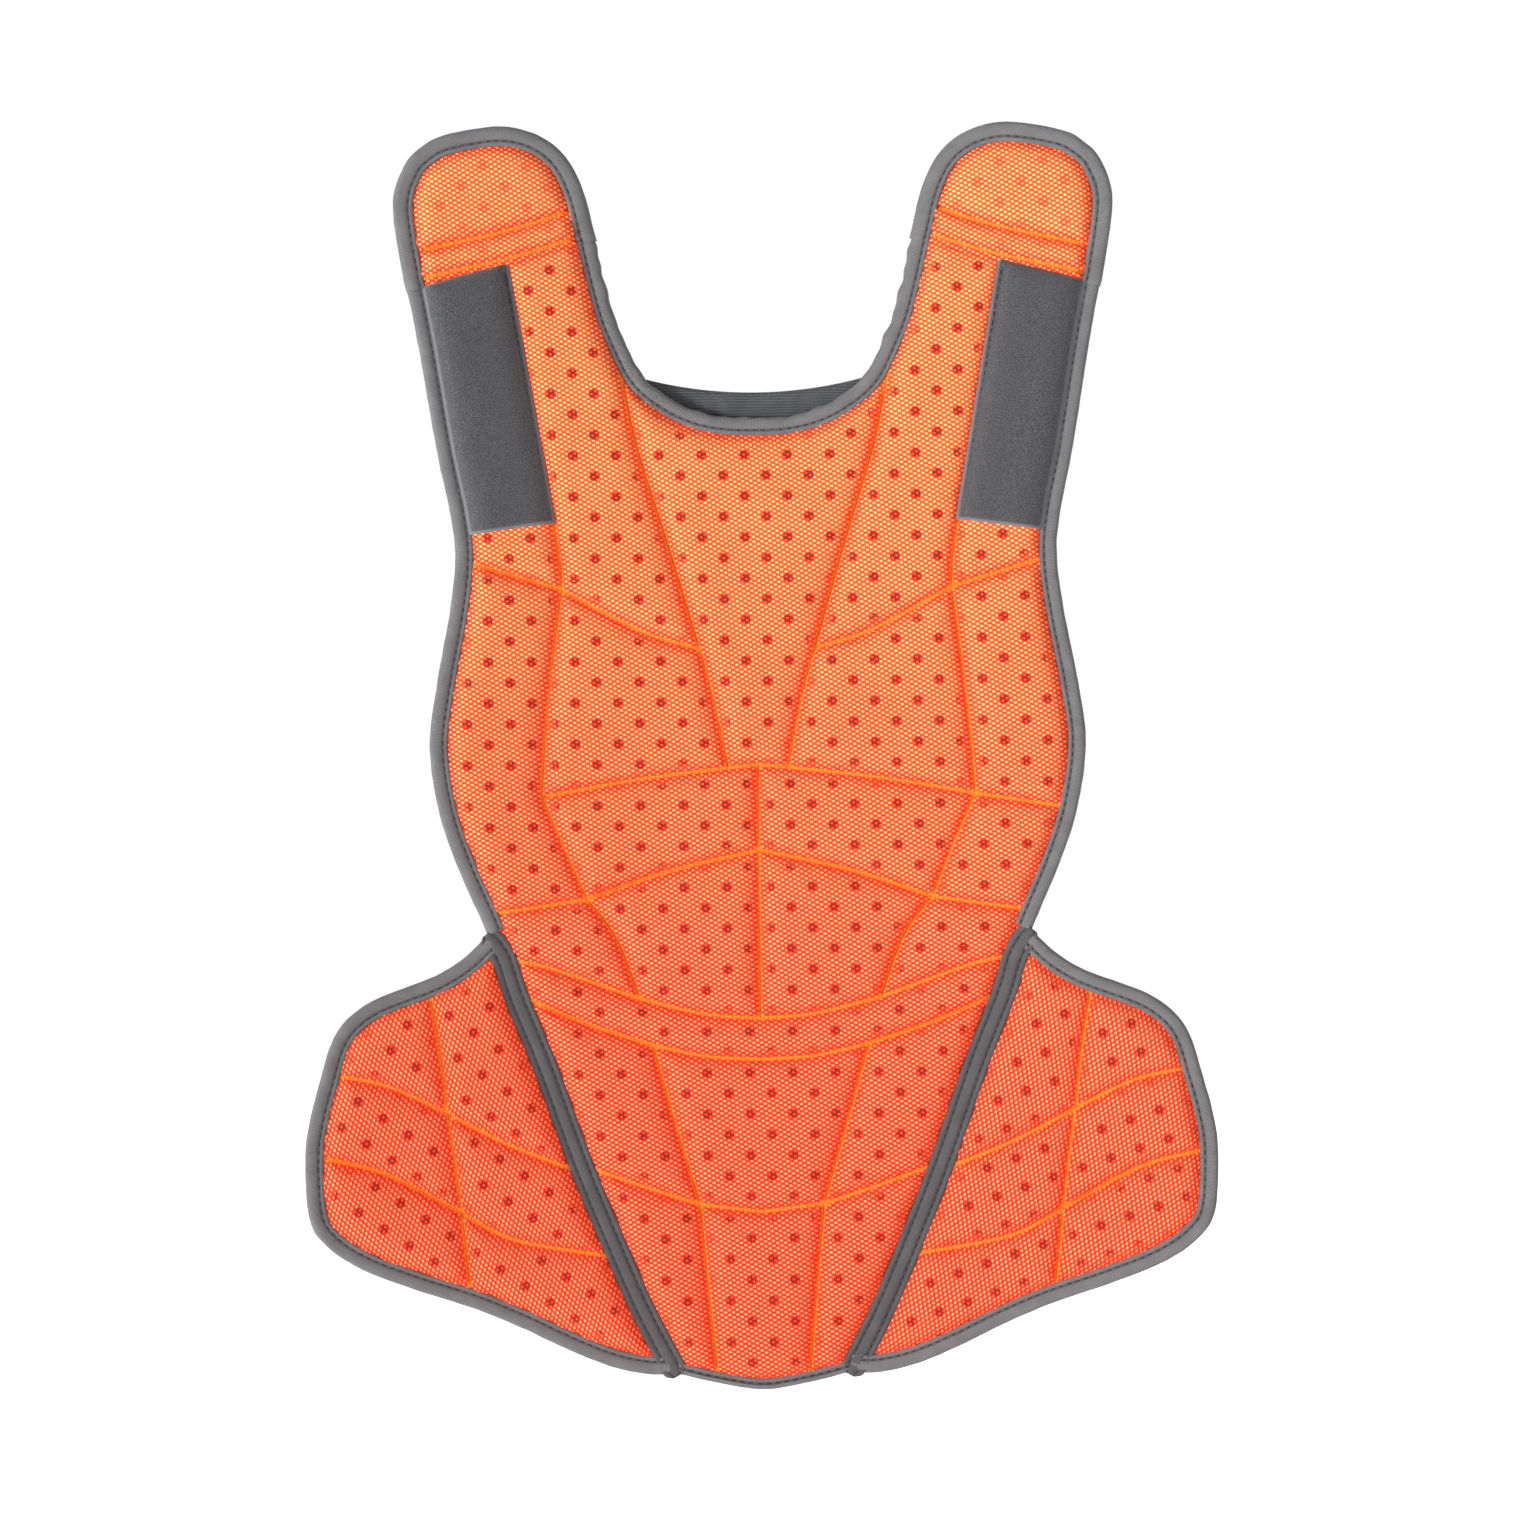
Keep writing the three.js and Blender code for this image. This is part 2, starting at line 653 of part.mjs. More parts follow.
const wingTopEdge = curve(notch, at(130, -156.6), at(139.5, -162.8), wingSplit);
const wingUpperEdge = curve(wingSplit, at(169.2, -174.5), at(181.2, -183), at(187.8, -193.1), wingUpperEnd);
const wingSideEdge = curve(wingUpperEnd, at(196.7, -225.1), wingMiddleEnd);
const wingOuterCorner = [at(197.6, -268), at(190.9, -280.4), at(175.9, -291.5), at(153.3, -301.2)];
const wingLowerEdge = curve(wingMiddleEnd, ...wingOuterCorner, wingBottomSplit);
const wingTipPoints = [at(106.8, -319.4), at(85.5, -330), at(66.5, -337.8), at(50, -341.4)];
const wingBottomEdge = curve(wingBottomSplit, ...wingTipPoints, hemCorner);
const upwards = (path) => [...path].reverse();

const wing = new Panel('right_wing', [
  boundEdge('top', wingTopEdge),
  boundEdge('upper', wingUpperEdge),
  boundEdge('side', wingSideEdge),
  boundEdge('lower', wingLowerEdge),
  boundEdge('bottom', wingBottomEdge),
  hingeTapeEdge('hingeTail', upwards(hingeTailPath)),
  hingeTapeEdge('hingeLower', upwards(hingeLowerPath)),
  hingeTapeEdge('hingeMiddle', upwards(hingeMiddlePath)),
  hingeTapeEdge('hingeUpper', upwards(hingeUpperPath)),
  hingeTapeEdge('hingeTop', upwards(waistEdge)),
]);

const wingCross = at(137.8, -225);
const wingLowCross = at(132, -268.5);
const wingLines = {
  uprightTop: curve(wing.innerEnd('top'), at(140.6, -199.8), wingCross),
  uprightMiddle: curve(wingCross, at(134.6, -247.2), wingLowCross),
  uprightLow: curve(wingLowCross, wing.innerEnd('lower')),
  upperOuter: curve(wingCross, at(163.7, -212.2), wing.innerEnd('upper')),
  upperInner: curve(wingCross, at(112, -238.8), wing.innerEnd('hingeLower')),
  lowerOuter: curve(wingLowCross, at(166, -250), wing.innerEnd('side')),
  lowerInner: curve(wingLowCross, at(108.5, -281), wing.innerEnd('hingeTail')),
};
const wingCellNames = {
  wing_upper_outer: ['upper', '-upperOuter', '-uprightTop'],
  wing_upper_inner: ['uprightTop', 'upperInner', 'hingeMiddle', 'hingeUpper', 'hingeTop', 'top'],
  wing_middle_outer: ['upperOuter', 'side', '-lowerOuter', '-uprightMiddle'],
  wing_middle_inner: ['uprightMiddle', 'lowerInner', 'hingeLower', '-upperInner'],
  wing_lower_outer: ['lowerOuter', 'lower', '-uprightLow'],
  wing_lower_inner: ['uprightLow', 'bottom', 'hingeTail', '-lowerInner'],
};
const rightWingCells = {};
for (const [cell, names] of Object.entries(wingCellNames)) {
  rightWingCells[`right_${cell}`] = loopOf(wing, wingLines, names);
}
wing.build(rightWingCells, wingPadThickness);
addTape('right_wing_binding', wing, wing.edges.map((edge) => edge.name));

// ---- Shoulder tips: a flat flap above the fold, then a round pad ----
const tipInner = [at(74.9, 179.4), at(80.2, 191.7), at(87.3, 200.2), at(98.3, 206.2)];
const tipOuter = [at(113, 208.2), at(134.7, 204.2), at(144.9, 198.9), at(152.4, 190.5), at(157.3, 173.2)];
const tip = new Panel('right_tip', [
  bareEdge('fold', [...foldInnerEdge, ...foldOuterEdge.slice(1)].reverse(), tipFlapDepth),
  boundEdge('round', curve(foldInner, ...tipInner, ...tipOuter, foldOuter)),
]);
tip.build({ right_tip: tip.padLoop }, tipPadThickness);
addTape('right_tip_binding', tip, ['round'], foldTapeTrim);

// ---- The left wing and tip mirror the right ones ----
function mirrorGeometry(geometry) {
  const old = geometry.getAttribute('position');
  const positions = [];
  for (let i = 0; i < old.count; i += 3) {
    for (const k of [i, i + 2, i + 1]) {
      positions.push(-old.getX(k), old.getY(k), old.getZ(k));
    }
  }
  const mirrored = new THREE.BufferGeometry();
  mirrored.setAttribute('position', new THREE.Float32BufferAttribute(positions, 3));
  mirrored.computeVertexNormals();
  return mirrored;
}

for (const mesh of [...protector.children]) {
  if (/^right_(wing|tip)/.test(mesh.name)) {
    add(mesh.name.replace('right_', 'left_'), mirrorGeometry(mesh.geometry), mesh.material);
  }
}

// ---- Loop patches on the straps: flat plates that lie square to the bowed lining ----
function addPatch(name, side) {
  const centre = at(...patchCentre);
  const [x, z] = [side * centre.x, centre.y];
  const patch = add(name, new THREE.BoxGeometry(patchWidth, patchThickness, patchLength), loopPile);
  const facing = new THREE.Vector3(-x / bodyRadius, -1, 0).normalize();
  const tilt = new THREE.Quaternion().setFromAxisAngle(
    new THREE.Vector3(0, 1, 0),
    THREE.MathUtils.degToRad(side * patchTilt),
  );
  const turn = new THREE.Quaternion().setFromUnitVectors(new THREE.Vector3(0, -1, 0), facing);
  patch.quaternion.copy(turn.multiply(tilt));
  patch.position.copy(place(new THREE.Vector2(x, z), 0));
  patch.position.addScaledVector(facing, patchGap + patchThickness / 2);
}
addPatch('right_loop_patch', 1);
addPatch('left_loop_patch', -1);

// ---- Throat collar: stands on the outer side of the bound neckline ----
const collarTop = neckEdge.map((p) => {
  const across = p.x / neckCorner.x;
  return new THREE.Vector2(p.x, neckCentre.y + collarRise + collarFlare * across ** 2);
});
const collarBottom = neckEdge.map((p) => new THREE.Vector2(p.x, p.y - tapeWidth / 2));
const collarLoop = [
  ...collarBottom,
  ...[...collarTop].reverse(),
  ...collarTop.slice(1).map(mirrorPoint),
  ...collarBottom.slice(1).map(mirrorPoint).reverse(),
];
const collarSheet = new Sheet();
collarSheet.fill(collarLoop, 'collar', true);
collarSheet.splitLongEdges(curveStep);
const collarFront = tapeBack + collarGap;
const collarBack = collarFront + collarThickness;
add('throat_collar', layerGeometry(collarSheet, () => true, () => collarFront, () => collarBack), darkCloth);

export default protector;
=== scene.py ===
"""Looks for the padded chest protector: quilted mesh lining, dark outer cloth, foam, tapes and stitches.

Flat patterns are drawn in millimetres as (x, z), and a depth t runs from the lining's inner face
outwards, away from the wearer. place() puts both on the bowed surface that the CAD part has.
Outlines run clockwise seen from the wearer, so that a line's right-hand side is inside.
"""

import math

import bpy
import numpy as np
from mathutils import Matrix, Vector, geometry, noise
from mathutils.kdtree import KDTree


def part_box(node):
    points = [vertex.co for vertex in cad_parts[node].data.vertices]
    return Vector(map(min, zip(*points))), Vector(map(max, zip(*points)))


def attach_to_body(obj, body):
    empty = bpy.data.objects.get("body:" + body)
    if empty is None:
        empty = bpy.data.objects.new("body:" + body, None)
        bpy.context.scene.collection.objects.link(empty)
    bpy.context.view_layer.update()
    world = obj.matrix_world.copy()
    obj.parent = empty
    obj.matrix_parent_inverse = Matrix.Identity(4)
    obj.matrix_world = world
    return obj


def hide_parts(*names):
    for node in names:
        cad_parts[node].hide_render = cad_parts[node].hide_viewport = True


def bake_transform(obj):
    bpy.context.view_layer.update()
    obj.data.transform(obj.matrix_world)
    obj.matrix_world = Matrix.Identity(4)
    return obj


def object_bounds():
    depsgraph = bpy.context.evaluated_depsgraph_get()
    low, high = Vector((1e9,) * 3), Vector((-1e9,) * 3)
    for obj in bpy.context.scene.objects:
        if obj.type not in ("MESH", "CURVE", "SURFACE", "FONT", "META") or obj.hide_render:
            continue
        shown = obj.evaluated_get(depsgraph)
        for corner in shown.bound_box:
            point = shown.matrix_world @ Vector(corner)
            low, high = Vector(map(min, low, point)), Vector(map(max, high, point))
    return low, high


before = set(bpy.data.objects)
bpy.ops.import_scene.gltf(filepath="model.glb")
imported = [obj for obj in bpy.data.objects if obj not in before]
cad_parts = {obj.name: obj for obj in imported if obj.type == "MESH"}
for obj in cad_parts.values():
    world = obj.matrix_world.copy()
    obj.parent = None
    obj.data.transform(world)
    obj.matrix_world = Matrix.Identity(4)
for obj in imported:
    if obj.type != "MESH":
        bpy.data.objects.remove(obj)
cad_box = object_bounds()

MM = 0.001

# ---- The bowed surface, as in the CAD part ----
BODY_RADIUS = 500
BELLY_RADIUS = 3000
TIP_RADIUS = 250
BELLY_CURVE_START = -60
TIP_CURVE_START = 145

# ---- Layers, as depths t ----
QUILT_SINK = 2.0  # the lining's face at a sewn line
LINING_CROWN = 4.6  # how far a pad pushes the lining out towards the wearer
LINING_THICKNESS = 2.0
SHELL_THICKNESS = 1.5
LAYER_GAP = 0.5
SEWN_DEPTH = QUILT_SINK + LINING_THICKNESS + LAYER_GAP + SHELL_THICKNESS  # the shell's face at a sewn line
CHEST_PAD = 11.5
WING_PAD = 8.0
TIP_PAD = 7.0
PAD_SHOULDER = 11.5  # distance from a sewn line over which a pad rises
PAD_INSET = 3.0

# ---- Tapes ----
TAPE_WIDTH = 8.0
HEM_TAPE_WIDTH = 5.0
HINGE_TAPE_WIDTH = 5.5
CLOTH_INSET = 1.2  # from the outline in to the cloth's own edge
BOUND_BAND = TAPE_WIDTH + 0.5
HEM_BAND = HEM_TAPE_WIDTH + 0.5
HINGE_BAND = HINGE_TAPE_WIDTH + 0.6
FOLD_BAND = 1.0

# ---- The mesh cloth's perforations, a centred lattice, and its knit ----
HOLE_PITCH = (18.9, 18.2)
HOLE_START = (-4.7, 46.0)
HOLE_DEPTH = 0.45
HOLE_RIM = 0.86  # height of the lattice's wave at a dimple's rim; it is 1 at the middle
KNIT_WAVES = ((0.304, -0.432), (0.260, 0.494), (0.564, 0.062))  # cycles per mm along and up the cloth
WING_GRAIN = {1: 63, -1: 101}  # degrees that the cloth's grain is turned on the right and left wing

# ---- Mesh fineness ----
LINING_CELLS = 8  # mesh cells to one pitch of the perforations
SHELL_CELLS = 5
LINE_STEP = 2.4
ROWS = (1.0, 2.2, PAD_INSET)  # rows of points beside each sewn line
SAMPLE = 0.8  # between the samples that distances are measured to
TAPE_STEP = 1.7

# ---- Puckers beside the sewn lines ----
PUCKER_PLACE = 2.5  # from the line to the middle of its puckers
PUCKER_REACH = 3.5

SIDES = {1: "right", -1: "left"}
WINGS = {1: "right_wing", -1: "left_wing"}
TIPS = {1: "right_shoulder_tip", -1: "left_shoulder_tip"}

# ---- Outline of the right half ----
NECK = [(0, 81), (12, 81.4), (24.8, 83.9), (37.2, 89.7)]
NECK += [(49.2, 99.7), (57.2, 115.2), (63, 130.7), (71, 163.5)]
FOLD = [(71, 163.5), (90, 156.5), (110.8, 150.4), (132, 145.3), (152.8, 140)]
ARMHOLE = [(152.8, 140), (147.5, 111.6), (140, 66), (134.2, 37), (132.6, 18), (135.4, -6), (141, -36)]
FLANK = [(144.4, -64), (140.5, -93), (132.5, -117.4), (123, -139.5), (120, -147)]
HINGE = [(120, -147), (113.2, -156.6), (107.4, -174.6), (94.9, -206), (79.2, -250), (63.8, -288)]
HINGE_END = [(51.8, -315.4), (38.4, -341)]
HEM = [(38.4, -341), (21, -345.4), (0, -348.6)]
WING_TOP = [(120, -147), (130, -156.6), (139.5, -162.8), (147.5, -166.4), (169.2, -174.5), (181.2, -183)]
WING_SIDE = [(187.8, -193.1), (192.3, -208.2), (196.7, -225.1), (199, -241.5), (197.6, -268), (190.9, -280.4)]
WING_LOW = [(175.9, -291.5), (153.3, -301.2), (127.5, -310.4), (106.8, -319.4), (85.5, -330), (66.5, -337.8)]
WING_END = [(50, -341.4), (38.4, -341)]
TIP_INNER = [(71, 163.5), (74.9, 179.4), (80.2, 191.7), (87.3, 200.2), (98.3, 206.2), (113, 208.2)]
TIP_OUTER = [(134.7, 204.2), (144.9, 198.9), (152.4, 190.5), (157.3, 173.2), (152.8, 140)]

# ---- Sewn lines of the right half ----
BREASTBONE = [(60.2, 106), (57, 90), (51.8, 66), (39, 24.4), (25.5, -21.5)]
STERNUM = [(25.5, -21.5), (19.9, -42), (13.3, -74.2)]
COLLARBONE = [(25.5, -21.5), (51, -13.5), (86.2, 5)]
ARMHOLE_LINE = [(86.2, 5), (129.8, 18)]
PATCH_LINE = [(109.6, 147.5), (89, 33), (86.2, 5)]
BREAST = [(86.2, 5), (92.6, -46), (95.7, -86.4)]
BREAST_MIDDLE = [(13.3, -74.2), (54.9, -79.3), (95.7, -86.4)]
BREAST_CENTRE = [(0, -73), (13.3, -74.2)]
SIDE_LINE = [(95.7, -86.4), (136.6, -93)]
RIB = [(95.7, -86.4), (88.6, -102.8), (76.2, -131.8)]
MIDRIFF = [(0, -110.8), (40, -119.8), (76.2, -131.8)]
FLANK_LINE = [(76.2, -131.8), (119.6, -138)]
LOW_RIB = [(76.2, -131.8), (63.3, -149.5), (53.4, -176)]
WAIST_SEAM = [(110, -158.2), (92.6, -162), (53.4, -176)]
WAIST_CENTRE = [(53.4, -176), (24, -183.2), (0, -185.2)]
BAND_INNER = [(0, -203.3), (24, -201.8), (47.8, -196.5)]
BAND_OUTER = [(47.8, -196.5), (76.3, -186.9), (104, -175)]
BELLY_RIB = [(47.8, -196.5), (38, -231), (27.4, -267)]
TAIL_RIB = [(27.4, -267), (20.4, -341.5)]
TAIL_INNER = [(0, -270.4), (27.4, -267)]
TAIL_OUTER = [(27.4, -267), (50, -259.5), (76.4, -250)]
CENTRE_LINE = [(0, -73), (0, -110.8), (0, -185.2)]
WING_UPRIGHT = [(145.6, -169.6), (140.6, -199.8), (137.8, -225)]
WING_UPRIGHT += [(134.6, -247.2), (132, -268.5), (127.9, -306.6)]
WING_UPPER_OUTER = [(137.8, -225), (163.7, -212.2), (188.8, -206.5)]
WING_UPPER_INNER = [(137.8, -225), (112, -238.8), (83, -251)]
WING_LOWER_OUTER = [(132, -268.5), (166, -250), (195.4, -242)]
WING_LOWER_INNER = [(132, -268.5), (108.5, -281), (68, -289)]


def resample(line, step):
    """The line as points about step apart, with its two ends kept."""
    length = np.r_[0, np.cumsum(np.linalg.norm(np.diff(line, axis=0), axis=1))]
    at = np.linspace(0, length[-1], max(1, round(length[-1] / step)) + 1)
    return np.column_stack([np.interp(at, length, line[:, k]) for k in range(line.shape[1])])


def curve(corners, step=LINE_STEP):
    """A smooth line through the corners, as the CAD part draws it."""
    points = np.array(corners, float)
    if len(points) == 2:
        return resample(points, step)
    padded = np.vstack([points[:1], points, points[-1:]])
    t = np.linspace(0, 1, 24, endpoint=False)[:, None]
    rows = []
    for a, b, c, d in zip(padded, padded[1:], padded[2:], padded[3:]):
        start = (c - a) / 2
        end = (d - b) / 2
        cubic = 2 * b - 2 * c + start + end
        square = 3 * c - 3 * b - 2 * start - end
        rows.append(cubic * t**3 + square * t**2 + start * t + b)
    return resample(np.vstack([*rows, points[-1:]]), step)


def mirror(line):
    """A right-half line on the left half, still running clockwise."""
    return (np.asarray(line, float) * (-1, 1))[::-1]


def sided(line, side):
    """A right-half line on the given side: 1 for right, -1 for left."""
    return line if side > 0 else mirror(line)


def past_end(line, length):
    """The line with its last point carried on."""
    last = line[-1] - line[-2]
    return np.vstack([line, line[-1] + last / np.linalg.norm(last) * length])


def past_start(line, length):
    return past_end(line[::-1], length)[::-1]


def joined(*lines):
    """Lines end to end, with each shared point once."""
    return np.vstack([line[:-1] for line in lines[:-1]] + [lines[-1]])


def directions(line):
    """The line's direction at each point."""
    step = np.gradient(line, axis=0)
    return step / np.linalg.norm(step, axis=1)[:, None]


def inwards(direction):
    """The directions a quarter turn to the right, which is into the object."""
    return np.column_stack([direction[:, 1], -direction[:, 0]])


def inset(loop, distance):
    """A closed clockwise loop moved inwards, its corners kept sharp."""
    after = np.roll(loop, -1, 0) - loop
    after = inwards(after / np.linalg.norm(after, axis=1)[:, None])
    before = np.roll(after, 1, 0)
    share = 1 + (before * after).sum(1)
    return loop + (before + after) * (distance / np.maximum(share, 0.4))[:, None]


def is_inside(points, loop):
    """Whether each point lies inside the closed loop."""
    inside = np.zeros(len(points), bool)
    x, z = points[:, 0], points[:, 1]
    for (x0, z0), (x1, z1) in zip(loop, np.roll(loop, -1, 0)):
        if z0 != z1:
            inside ^= ((z0 > z) != (z1 > z)) & (x < (x1 - x0) * (z - z0) / (z1 - z0) + x0)
    return inside


class Nearest:
    """Distance from any flat point to the nearest of some samples."""

    def __init__(self, samples):
        self.tree = KDTree(len(samples))
        for i, (x, z) in enumerate(samples):
            self.tree.insert((x, z, 0), i)
        self.tree.balance()

    def __call__(self, points):
        found = [self.tree.find((x, z, 0)) for x, z in points]
        return np.array([f[2] for f in found]), np.array([f[1] for f in found])


def bow(x, z):
    """How far the surface stands towards the wearer from its middle, in mm."""
    belly = np.maximum(0, BELLY_CURVE_START - z) ** 2 / (2 * BELLY_RADIUS)
    tip = np.maximum(0, z - TIP_CURVE_START) ** 2 / (2 * TIP_RADIUS)
    return x**2 / (2 * BODY_RADIUS) + belly + tip


def place(flat, depth):
    """Points of the row frame, in metres, for flat points and depths."""
    x, z = flat[:, 0], flat[:, 1]
    return np.column_stack([x, depth - bow(x, z), z]) * MM


def ripple(flat, scale, amount, seed=0):
    """Smooth unevenness over the flat pattern."""
    return amount * np.array([noise.noise((x / scale, z / scale, seed)) for x, z in flat])


def smooth(values, low, high):
    """0 at low and 1 at high, smooth between; low may be the larger one."""
    t = np.clip((values - low) / (high - low), 0, 1)
    return t * t * (3 - 2 * t)


def puckers(room, line, along, height, length, sway, sway_length):
    """Small folds across a sewn line, uneven along it."""
    beside = np.exp(-((line - PUCKER_PLACE) / PUCKER_REACH) ** 2)
    folds = np.sin(along / length + sway * np.sin(along / sway_length))
    return height * beside * folds * np.minimum(room / 2, 1)


# ---- Meshes ----
def make_object(name, points, faces, material, attributes=()):
    """A smooth-shaded object from points in metres. attributes are (name, values), one vector to a point."""
    mesh = bpy.data.meshes.new(name)
    mesh.from_pydata(np.asarray(points).tolist(), [], [list(map(int, f)) for f in faces])
    mesh.materials.append(material)
    mesh.polygons.foreach_set("use_smooth", [True] * len(mesh.polygons))
    for key, values in attributes:
        made = mesh.attributes.new(key, "FLOAT_VECTOR", "POINT")
        made.data.foreach_set("vector", np.asarray(values, np.float32).ravel())
    piece = bpy.data.objects.new(name, mesh)
    bpy.context.scene.collection.objects.link(piece)
    return piece


def closed_layer(front, back, triangles):
    """Points and faces of a solid between two copies of the same flat triangles."""
    count = len(front)
    edges = {(a, b) for t in triangles for a, b in ((t[0], t[1]), (t[1], t[2]), (t[2], t[0]))}
    rim = [(a, b) for a, b in edges if (b, a) not in edges]
    faces = [tuple(t) for t in triangles]
    faces += [(t[0] + count, t[2] + count, t[1] + count) for t in triangles]
    faces += [(b, a, a + count, b + count) for a, b in sorted(rim)]
    return np.vstack([front, back]), faces


def without_spares(points, triangles):
    """Drops the points that no triangle uses. Returns the kept points' numbers and the new triangles."""
    used, renumbered = np.unique(np.asarray(triangles).ravel(), return_inverse=True)
    return used, renumbered.reshape(-1, 3)


class Quilt:
    """One quilted panel: its flat outline, its sewn lines, and how full the padding is at any point.

    edges are (line, band): a stretch of the outline, and the flat cloth from there in to the padding.
    """

    def __init__(self, name, edges, lines, grain=0):
        self.name = name
        self.lines = lines
        self.grain = math.radians(grain)
        outline = joined(*[line for line, _ in edges])[:-1]
        self.loop = inset(outline, CLOTH_INSET)
        dense = [resample(line, SAMPLE) for line in lines]
        self.along = np.concatenate([np.arange(len(line)) * SAMPLE for line in dense])
        self.to_line = Nearest(np.vstack(dense))
        self.to_edge = Nearest(np.vstack([resample(line, SAMPLE) for line, _ in edges]))
        self.to_bands = []
        for band in sorted({band for _, band in edges}):
            alike = [resample(line, SAMPLE) for line, own in edges if own == band]
            self.to_bands.append((band, Nearest(np.vstack(alike))))

    def room(self, flat):
        """Distances to the nearest line or band, to a line and to a band, and the place along the line."""
        line, which = self.to_line(flat)
        free = np.minimum.reduce([nearest(flat)[0] - band for band, nearest in self.to_bands])
        return np.maximum(0, np.minimum(line, free)), line, free, self.along[which]

    def fullness(self, room):
        """0 at a sewn line, 1 where the pad has its whole thickness."""
        return np.sqrt(1 - (1 - np.minimum(room / PAD_SHOULDER, 1)) ** 2)

    def lining(self, flat):
        """Depth of the lining's inner face."""
        room, line, _, along = self.room(flat)
        uneven = ripple(flat, 34, 0.9) + ripple(flat, 11, 0.25, 5)
        crown = (QUILT_SINK + LINING_CROWN + uneven) * self.fullness(room)
        return QUILT_SINK - crown + puckers(room, line, along, 0.32, 1.25, 2.5, 9.0)

    def shell_back(self, flat, pad):
        """Depth of the shell's outer face."""
        room, line, _, along = self.room(flat)
        crown = (pad - QUILT_SINK + ripple(flat, 30, 0.8, 9)) * self.fullness(room)
        return SEWN_DEPTH + crown + puckers(room, line, along, 0.35, 1.4, 2, 8.0)

    def grain_at(self, flat):
        """The cloth's own coordinates, in mm, measured from a perforation."""
        x, z = flat[:, 0] - HOLE_START[0], flat[:, 1] - HOLE_START[1]
        c, s = math.cos(self.grain), math.sin(self.grain)
        return np.column_stack([c * x + s * z, c * z - s * x])

    def mesh(self, cells):
        """Flat points and triangles, with edges along the sewn lines.

        cells is how many mesh cells there are to one pitch of the perforations.
        """
        pitch = np.array(HOLE_PITCH) / cells
        low, high = self.loop.min(0), self.loop.max(0)
        n = int(np.linalg.norm(high - low) / min(pitch)) + 2
        rows, columns = np.mgrid[-n:n, -n:n]
        rows, columns = rows.ravel(), columns.ravel()
        cloth = np.column_stack([(columns + 0.5 * (rows % 2)) * pitch[0], rows * pitch[1]])
        middle = self.grain_at((low + high)[None] / 2)[0]
        u, v = (cloth + np.round(middle / HOLE_PITCH) * HOLE_PITCH).T
        c, s = math.cos(self.grain), math.sin(self.grain)
        grid = np.column_stack([c * u - s * v, s * u + c * v]) + HOLE_START
        grid = grid[((grid > low) & (grid < high)).all(1)]
        grid = grid[is_inside(grid, self.loop)]
        line, _ = self.to_line(grid)
        edge, _ = self.to_edge(grid)
        clear = 0.6 * pitch[0]
        grid = grid[(line > PAD_INSET + clear) & (edge > CLOTH_INSET + clear)]
        beside = np.vstack([self.rows_beside(line) for line in self.lines])
        points, edges = [], []
        for line, closed in [(self.loop, True), *[(line, False) for line in self.lines]]:
            first = sum(len(p) for p in points)
            points.append(line)
            edges += [(first + i, first + i + 1) for i in range(len(line) - 1)]
            if closed:
                edges.append((first + len(line) - 1, first))
        points = np.vstack([*points, beside, grid])
        made = geometry.delaunay_2d_cdt([Vector(p) for p in points], edges, [], 1, 0.01)
        flat = np.array([tuple(v) for v in made[0]])
        triangles = np.array([f for f in made[2] if len(f) == 3])
        used, triangles = without_spares(flat, triangles)
        return flat[used], triangles

    def rows_beside(self, line):
        """Rows of points on both sides of a sewn line, where nothing else is nearer."""
        found = []
        normal = inwards(directions(line))
        for distance in ROWS:
            for side in (-1, 1):
                row = line + normal * distance * side
                row = row[is_inside(row, self.loop)]
                if len(row) == 0:
                    continue
                near_line, _ = self.to_line(row)
                near_edge, _ = self.to_edge(row)
                found.append(row[(near_line > distance - 0.35) & (near_edge > CLOTH_INSET + 1.2)])
        return np.vstack([np.zeros((0, 2)), *found])


def hole_mask(cloth):
    """1 at the middle of a perforation, 0 from its rim outwards."""
    wave = np.cos(2 * np.pi * cloth[:, 0] / HOLE_PITCH[0]) * np.cos(2 * np.pi * cloth[:, 1] / HOLE_PITCH[1])
    return np.clip((wave - HOLE_RIM) / (1 - HOLE_RIM), 0, 1)


# ---- Materials ----
RIB_PITCH = 1.25  # between the collar's ribs


